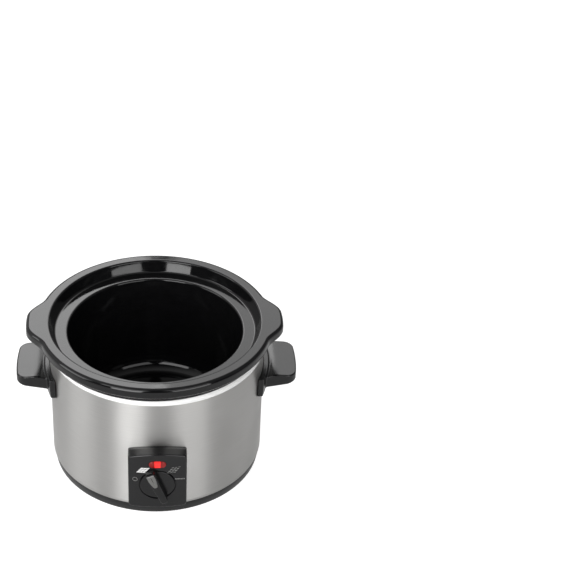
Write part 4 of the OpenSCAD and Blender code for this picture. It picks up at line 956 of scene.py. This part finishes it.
# ABS from a lightly spark-eroded mould: charcoal black with an even satin.
panel_black = moulded("satin_moulded_abs", "101011", 0.22, 0.5, 0.006, sheen_mm=12.0)
panel = piece("panel_moulding", points, faces, panel_black, crease=50)
if sum(f.normal.y * f.area for f in panel.data.polygons) > 0:
    panel.data.flip_normals()
skin = panel.modifiers.new("wall", "SOLIDIFY")
skin.thickness = PANEL_T * MM
skin.offset = -1
skin.use_even_offset = True
settle(panel)
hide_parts("control_panel")
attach(panel, "housing")

# Panel marks
# Tampon-printed ink: a ring for off, a bar of filled blocks, a bar of thin strokes
# and a dash. Geometry Nodes sets the blocks out on a slanted grid.
INK, INK_R = 0.06, PANEL_R + 0.01
RING_X, RING_Z, RING_RADII, RING_STEPS = -19.3, 49.7, (1.75, 2.2), 48


def printed(name, colour):
    """Printing ink: matt, with an edge-to-edge cover that thins in places."""
    finish, tree = finish_called(name)
    where = add(tree, "ShaderNodeTexCoord").outputs["Object"]
    cover = add(tree, "ShaderNodeTexNoise", {"Vector": where, "Scale": 1 / (0.8 * MM)})
    thin, full = toned(colour, 0.8, 1)
    tone = add(tree, "ShaderNodeMix", {0: cover, 6: thin, 7: full}, data_type="RGBA")
    body = add(tree, "ShaderNodeBsdfPrincipled", {"Base Color": tone.outputs[2], "Roughness": 0.6})
    add(tree, "ShaderNodeOutputMaterial", {"Surface": body})
    return finish


white_ink = printed("white_printing_ink", "f2f2f0")
grey_ink = printed("grey_printing_ink", "868684")

t, given, out = recipe("slanted_blocks", {
    "Columns": "Int", "Rows": "Int", "Pitch X": "Float", "Pitch Z": "Float", "Block width": "Float",
    "Block height": "Float", "Slant": "Float", "Rise": "Float", "Middle X": "Float", "Middle Z": "Float",
    "Radius": "Float", "Finish": "Material"})
lie = add(t, "GeometryNodeInputPosition")
flat = add(t, "ShaderNodeSeparateXYZ", {0: lie})
known = dict(given.items(), across=flat.outputs["X"], up=flat.outputs["Y"])
for result, operation, *terms in (
        # The grid's reach over its blocks' middles
        ("columns on", "SUBTRACT", "Columns", 1.0),
        ("wide", "MULTIPLY", "Pitch X", "columns on"),
        ("rows on", "SUBTRACT", "Rows", 1.0),
        ("tall", "MULTIPLY", "Pitch Z", "rows on"),
        # The slanted grid's points, laid on the panel's round face
        ("leant", "MULTIPLY_ADD", "up", "Slant", "across"),
        ("x", "ADD", "leant", "Middle X"),
        ("lifted", "MULTIPLY_ADD", "across", "Rise", "up"),
        ("z", "ADD", "lifted", "Middle Z"),
        ("radius squared", "MULTIPLY", "Radius", "Radius"),
        ("x squared", "MULTIPLY", "x", "x"),
        ("depth squared", "SUBTRACT", "radius squared", "x squared"),
        ("depth", "SQRT", "depth squared"),
        ("y", "MULTIPLY", "depth", -1.0)):
    known[result] = add(t, "ShaderNodeMath", {i: known.get(term, term) for i, term in enumerate(terms)},
                        operation=operation)

spots = add(t, "GeometryNodeMeshGrid", {"Size X": known["wide"], "Size Y": known["tall"],
                                        "Vertices X": given["Columns"], "Vertices Y": given["Rows"]})
block = add(t, "GeometryNodeMeshGrid", {"Size X": given["Block width"], "Size Y": given["Block height"],
                                        "Vertices X": 4, "Vertices Y": 3})
copies = add(t, "GeometryNodeInstanceOnPoints", {"Points": spots, "Instance": block})
real = add(t, "GeometryNodeRealizeInstances", {"Geometry": copies})
placed = add(t, "ShaderNodeCombineXYZ", {"X": known["x"], "Y": known["y"], "Z": known["z"]})
bent = add(t, "GeometryNodeSetPosition", {"Geometry": real, "Position": placed})
ended(t, bent, given, out)

marks = []
for name, columns, rows, pitch_x, pitch_z, w, h, slant, rise, x, z, ink in (
        ("mark_full_bar", 3, 3, 2.5, 1.95, 2.25, 1.65, 0.78, 0.0, -12.4, 60.3, white_ink),
        ("mark_dotted_top", 3, 3, 2.7, 1.95, 1.9, 0.42, 0.78, 0.0, 14.5, 60.9, grey_ink),
        ("mark_dotted_foot", 3, 3, 2.7, 1.95, 1.9, 0.42, 0.78, 0.0, 13.4, 59.4, grey_ink),
        ("mark_dash", 7, 1, 1.25, 1.0, 0.95, 1.1, 0.0, -0.13, 19.2, 49.4, grey_ink)):
    made = grown(name, t, {
        "Columns": columns, "Rows": rows, "Pitch X": pitch_x * MM, "Pitch Z": pitch_z * MM,
        "Block width": w * MM, "Block height": h * MM, "Slant": slant, "Rise": rise, "Middle X": x * MM,
        "Middle Z": z * MM, "Radius": INK_R * MM, "Finish": ink})
    marks.append(made)
ring_points = [at_front(x, z, INK_R) for radius in RING_RADII
               for x, z in arc((RING_X, RING_Z), radius, 0, 360, RING_STEPS)[:-1]]
ring_faces = [(k, RING_STEPS + k, RING_STEPS + (k + 1) % RING_STEPS, (k + 1) % RING_STEPS)
              for k in range(RING_STEPS)]
marks.append(piece("mark_off_ring", ring_points, ring_faces, grey_ink))
for made in marks:
    if sum(f.normal.y * f.area for f in made.data.polygons) > 0:
        made.data.flip_normals()
    film = made.modifiers.new("film", "SOLIDIFY")
    film.thickness = INK * MM
    film.offset = 1
    settle(made)
    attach(made, "housing")

# Pilot lamp
# Neon lamp in its holder behind a moulded lens of red acrylic in the panel. The lamp's
# light through the middle of the lens is painted into the lens, as a lighter red and a
# glow of the lens's own there, while its ends stay darker.

# Moulded acrylic: a clear-skinned deep red over fine pips, with painted lamplight: a
# lighter red and a glow of its own in the middle, where the lamp stands behind it.
red_acrylic, t = finish_called("red_moulded_acrylic")
where = add(t, "ShaderNodeTexCoord").outputs["Object"]
place = add(t, "ShaderNodeSeparateXYZ", {0: where})
off_middle = add(t, "ShaderNodeMath", {0: place.outputs["X"]}, operation="ABSOLUTE")
# Painted glow: the middle of the lens, over the lamp, gets a lighter red and an emission of its own.
painted_glow_share = add(t, "ShaderNodeMapRange", {0: off_middle, 1: 2.2 * MM, 2: 2.9 * MM, 3: 1.0, 4: 0.0},
          interpolation_type="SMOOTHSTEP")
tone = add(t, "ShaderNodeMix", {0: painted_glow_share, 6: linear("74100e"), 7: linear("c81e1a")}, data_type="RGBA")
glow = add(t, "ShaderNodeMix", {0: painted_glow_share, 6: linear("5c0c0b"), 7: linear("ff3232")}, data_type="RGBA")
pips = add(t, "ShaderNodeTexVoronoi", {"Vector": where, "Scale": 1 / (1.2 * MM)})
pip_relief = add(t, "ShaderNodeBump", {"Height": pips, "Strength": 0.2, "Distance": 0.05 * MM})
body = add(t, "ShaderNodeBsdfPrincipled", {
    "Base Color": tone.outputs[2], "Roughness": 0.16, "IOR": 1.49, "Normal": pip_relief,
    "Emission Strength": 0.75, "Emission Color": glow.outputs[2]})
add(t, "ShaderNodeOutputMaterial", {"Surface": body})

# Drawn glass, filled with glowing neon: orange, a little hazy.
lamp_glass, t = finish_called("drawn_lamp_glass")
where = add(t, "ShaderNodeTexCoord").outputs["Object"]
haze = add(t, "ShaderNodeTexNoise", {"Vector": where, "Scale": 1 / (2 * MM)})
tone = add(t, "ShaderNodeMix", {0: haze, 6: linear("ff9a5c"), 7: linear("ffc08c")}, data_type="RGBA")
body = add(t, "ShaderNodeBsdfPrincipled", {
    "Base Color": tone.outputs[2], "Roughness": 0.08, "Transmission Weight": 0.7, "IOR": 1.47,
    "Emission Color": linear("ff6a30"), "Emission Strength": 0.6})
add(t, "ShaderNodeOutputMaterial", {"Surface": body})
dress(lamp_glass, "indicator_lamp")

cap = []
outline = np.array(evenly(slot_shape(LENS_W, LENS_H), 1.0))
spine = np.clip(outline[:, 0], -4.0, 4.0)
for inward, y in ((2.6, 107.62), (1.6, 107.58), (0.9, 107.5), (0.45, 107.35), (0.15, 107.1), (0, 106.8),
                  (0, LENS_BACK)):
    share = 1 - 2 * inward / LENS_H
    cap.append([(s + (x - s) * share, -y, z * share + LENS_Z) for s, (x, z) in zip(spine, outline)])
cap.append([(x * 0.86, -LENS_BACK, LENS_Z + (z - LENS_Z) * 0.7) for x, _, z in cap[-1]])
points, faces = rings_to_faces(cap)
n = len(cap[0])
faces.append(tuple(range(n)))
faces.append(tuple(range(len(points) - n, len(points)))[::-1])
red_lens = piece("pilot_lens", points, faces, red_acrylic, crease=50)
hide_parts("indicator_lens")
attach(red_lens, "housing")

# Selector knob
# Black ABS moulding: a flat disc sunk in the panel with a tapered grip across it,
# pushed on the switch's spindle. It points up to the left, to the full bar.
KNOB_TURN = math.radians(22.5)
DISC_R, DISC_BACK, DISC_FRONT = 14.7, 105.1, 106.6
BAR_HEAD, BAR_TAIL, BAR_WIDE, BAR_SLIM, BAR_FRONT = 17.4, 17.0, 4.3, 3.0, 114.0


def on_knob(a, b, depth):
    """A point of the knob: a across the grip, b along it to its head, at a depth."""
    c, s = math.cos(KNOB_TURN), math.sin(KNOB_TURN)
    return (a * c - b * s, -depth, KNOB_Z + a * s + b * c)


# ABS from a polished mould: a deeper black than the panel's, and a little glossier.
knob_black = moulded("gloss_moulded_abs", "0c0c0d", 0.20, 0.5, 0.005, sheen_mm=8.0)
disc_outline = [
    (0, DISC_BACK), (DISC_R - 0.5, DISC_BACK), (DISC_R, DISC_BACK + 0.4), (DISC_R, DISC_FRONT - 0.5)] + arc(
    (DISC_R - 0.5, DISC_FRONT - 0.5), 0.5, 10, 90, 4) + [
    (DISC_R - 1.1, DISC_FRONT), (7, DISC_FRONT), (0, DISC_FRONT)]
rings = []
for r, y in disc_outline:
    rings.append([on_knob(0, 0, y)] if r < 1e-6 else
                 [on_knob(r * math.cos(a), r * math.sin(a), y)
                  for a in np.linspace(0, 2 * math.pi, 96, endpoint=False)])
knob = piece("selector_knob_moulding", *rings_to_faces(rings), knob_black, crease=50)

bar_loop = evenly(rounded([
    (0, -BAR_TAIL, 0), (BAR_SLIM, -BAR_TAIL, 2.4), (BAR_WIDE, 16.0, 0), (BAR_WIDE, BAR_HEAD, 1.3),
    (-BAR_WIDE, BAR_HEAD, 1.3), (-BAR_WIDE, 16.0, 0), (-BAR_SLIM, -BAR_TAIL, 2.4), (0, -BAR_TAIL, 0)],
    turn=15, hold=0.2)[:-1], 1.6)


def grip_block(levels, clip):
    """A closed block over the grip's outline: (inset, depth) for each ring of points."""
    block = []
    for inward, y in levels:
        ring = inset(bar_loop, inward) if inward else np.array(bar_loop)
        reach = np.hypot(*ring.T)
        ring = ring * np.minimum(1, clip / reach)[:, None]
        block.append([on_knob(a, b, y) for a, b in ring])
    found, top_faces = filled(inset(bar_loop, levels[-1][0]), [], 1.6)
    block_points, block_faces = rings_to_faces(block)
    n = len(bar_loop)
    base_at = len(block_points) - n
    extra = found[n:]
    start = len(block_points)
    block_points += [on_knob(a, b, levels[-1][1]) for a, b in extra]
    block_faces += [tuple(base_at + i if i < n else start + i - n for i in f) for f in top_faces]
    block_faces.append(tuple(range(n))[::-1])
    return block_points, block_faces


foot_block = piece("grip_foot", *grip_block([(0.25, 106.0), (0.25, 107.6)], 14.1), knob_black)
grip = piece("grip_block", *grip_block(
    [(0.3, 107.2), (0.08, 107.28), (0, 107.5), (0.1, 112.9), (0.2, 113.3), (0.42, 113.66), (0.7, 113.88),
     (1.05, BAR_FRONT)], 99), knob_black, crease=50)
for part in (foot_block, grip):
    union = knob.modifiers.new("moulded_in_one", "BOOLEAN")
    union.operation = "UNION"
    union.solver = "EXACT"
    union.object = part
settle(knob)
knob.data.set_sharp_from_angle(angle=math.radians(40))
for part in (foot_block, grip):
    bpy.data.objects.remove(part)
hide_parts("selector_knob")
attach(knob, "knob")

# Pointer
# Mid-grey moulded ABS, snapped into the head of the grip: wide at the head, round
# at its tip, with a groove down the middle.
grey_abs = moulded("grey_moulded_abs", "6a6a68", 0.34, 0.5, 0.006, sheen_mm=5.0)
POINTER_HEAD, POINTER_L, POINTER_HALF, POINTER_TIP = 16.7, 14.0, 3.45, 1.6
rows, along, across = [], 28, 17
for k in range(along + 1):
    s = k / along
    b = POINTER_HEAD - POINTER_L * s
    half = POINTER_HALF - (POINTER_HALF - POINTER_TIP) * max(0, (s - 0.3) / 0.7) ** 1.6
    tail = (b - (POINTER_HEAD - POINTER_L)) / POINTER_TIP
    if tail < 1:
        half *= math.sqrt(max(1 - (1 - tail) ** 2, 0.001))
    end = min(1, (POINTER_HEAD - b) / 0.7 + 0.02, (b - POINTER_HEAD + POINTER_L) / 0.9 + 0.02)
    row = []
    for j in range(across):
        v = 2 * j / (across - 1) - 1
        crown = math.sqrt(max(1 - abs(v) ** 5, 0)) * math.sqrt(end)
        groove = 0.42 * math.exp(-(v * half / 0.55) ** 2) * min(1, s * 6 + 0.3) * max(0, 1 - s ** 4)
        row.append(on_knob(v * half, b, BAR_FRONT - 0.2 + 0.55 * crown - groove * end))
    rows.append(row)
points = [p for row in rows for p in row]
faces = [(r * across + j, r * across + j + 1, (r + 1) * across + j + 1, (r + 1) * across + j)
         for r in range(along) for j in range(across - 1)]
rim = (list(range(across)) + [r * across + across - 1 for r in range(1, along + 1)]
       + [along * across + j for j in range(across - 2, -1, -1)]
       + [r * across for r in range(along - 1, 0, -1)])
below = len(points)
points += [(points[i][0], -(BAR_FRONT - 0.5), points[i][2]) for i in rim]
faces += [(rim[k], below + k, below + (k + 1) % len(rim), rim[(k + 1) % len(rim)]) for k in range(len(rim))]
faces.append(tuple(below + k for k in range(len(rim))))
pointer = piece("knob_pointer_inlay", points, faces, grey_abs, crease=50)
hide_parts("knob_pointer")
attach(pointer, "knob")
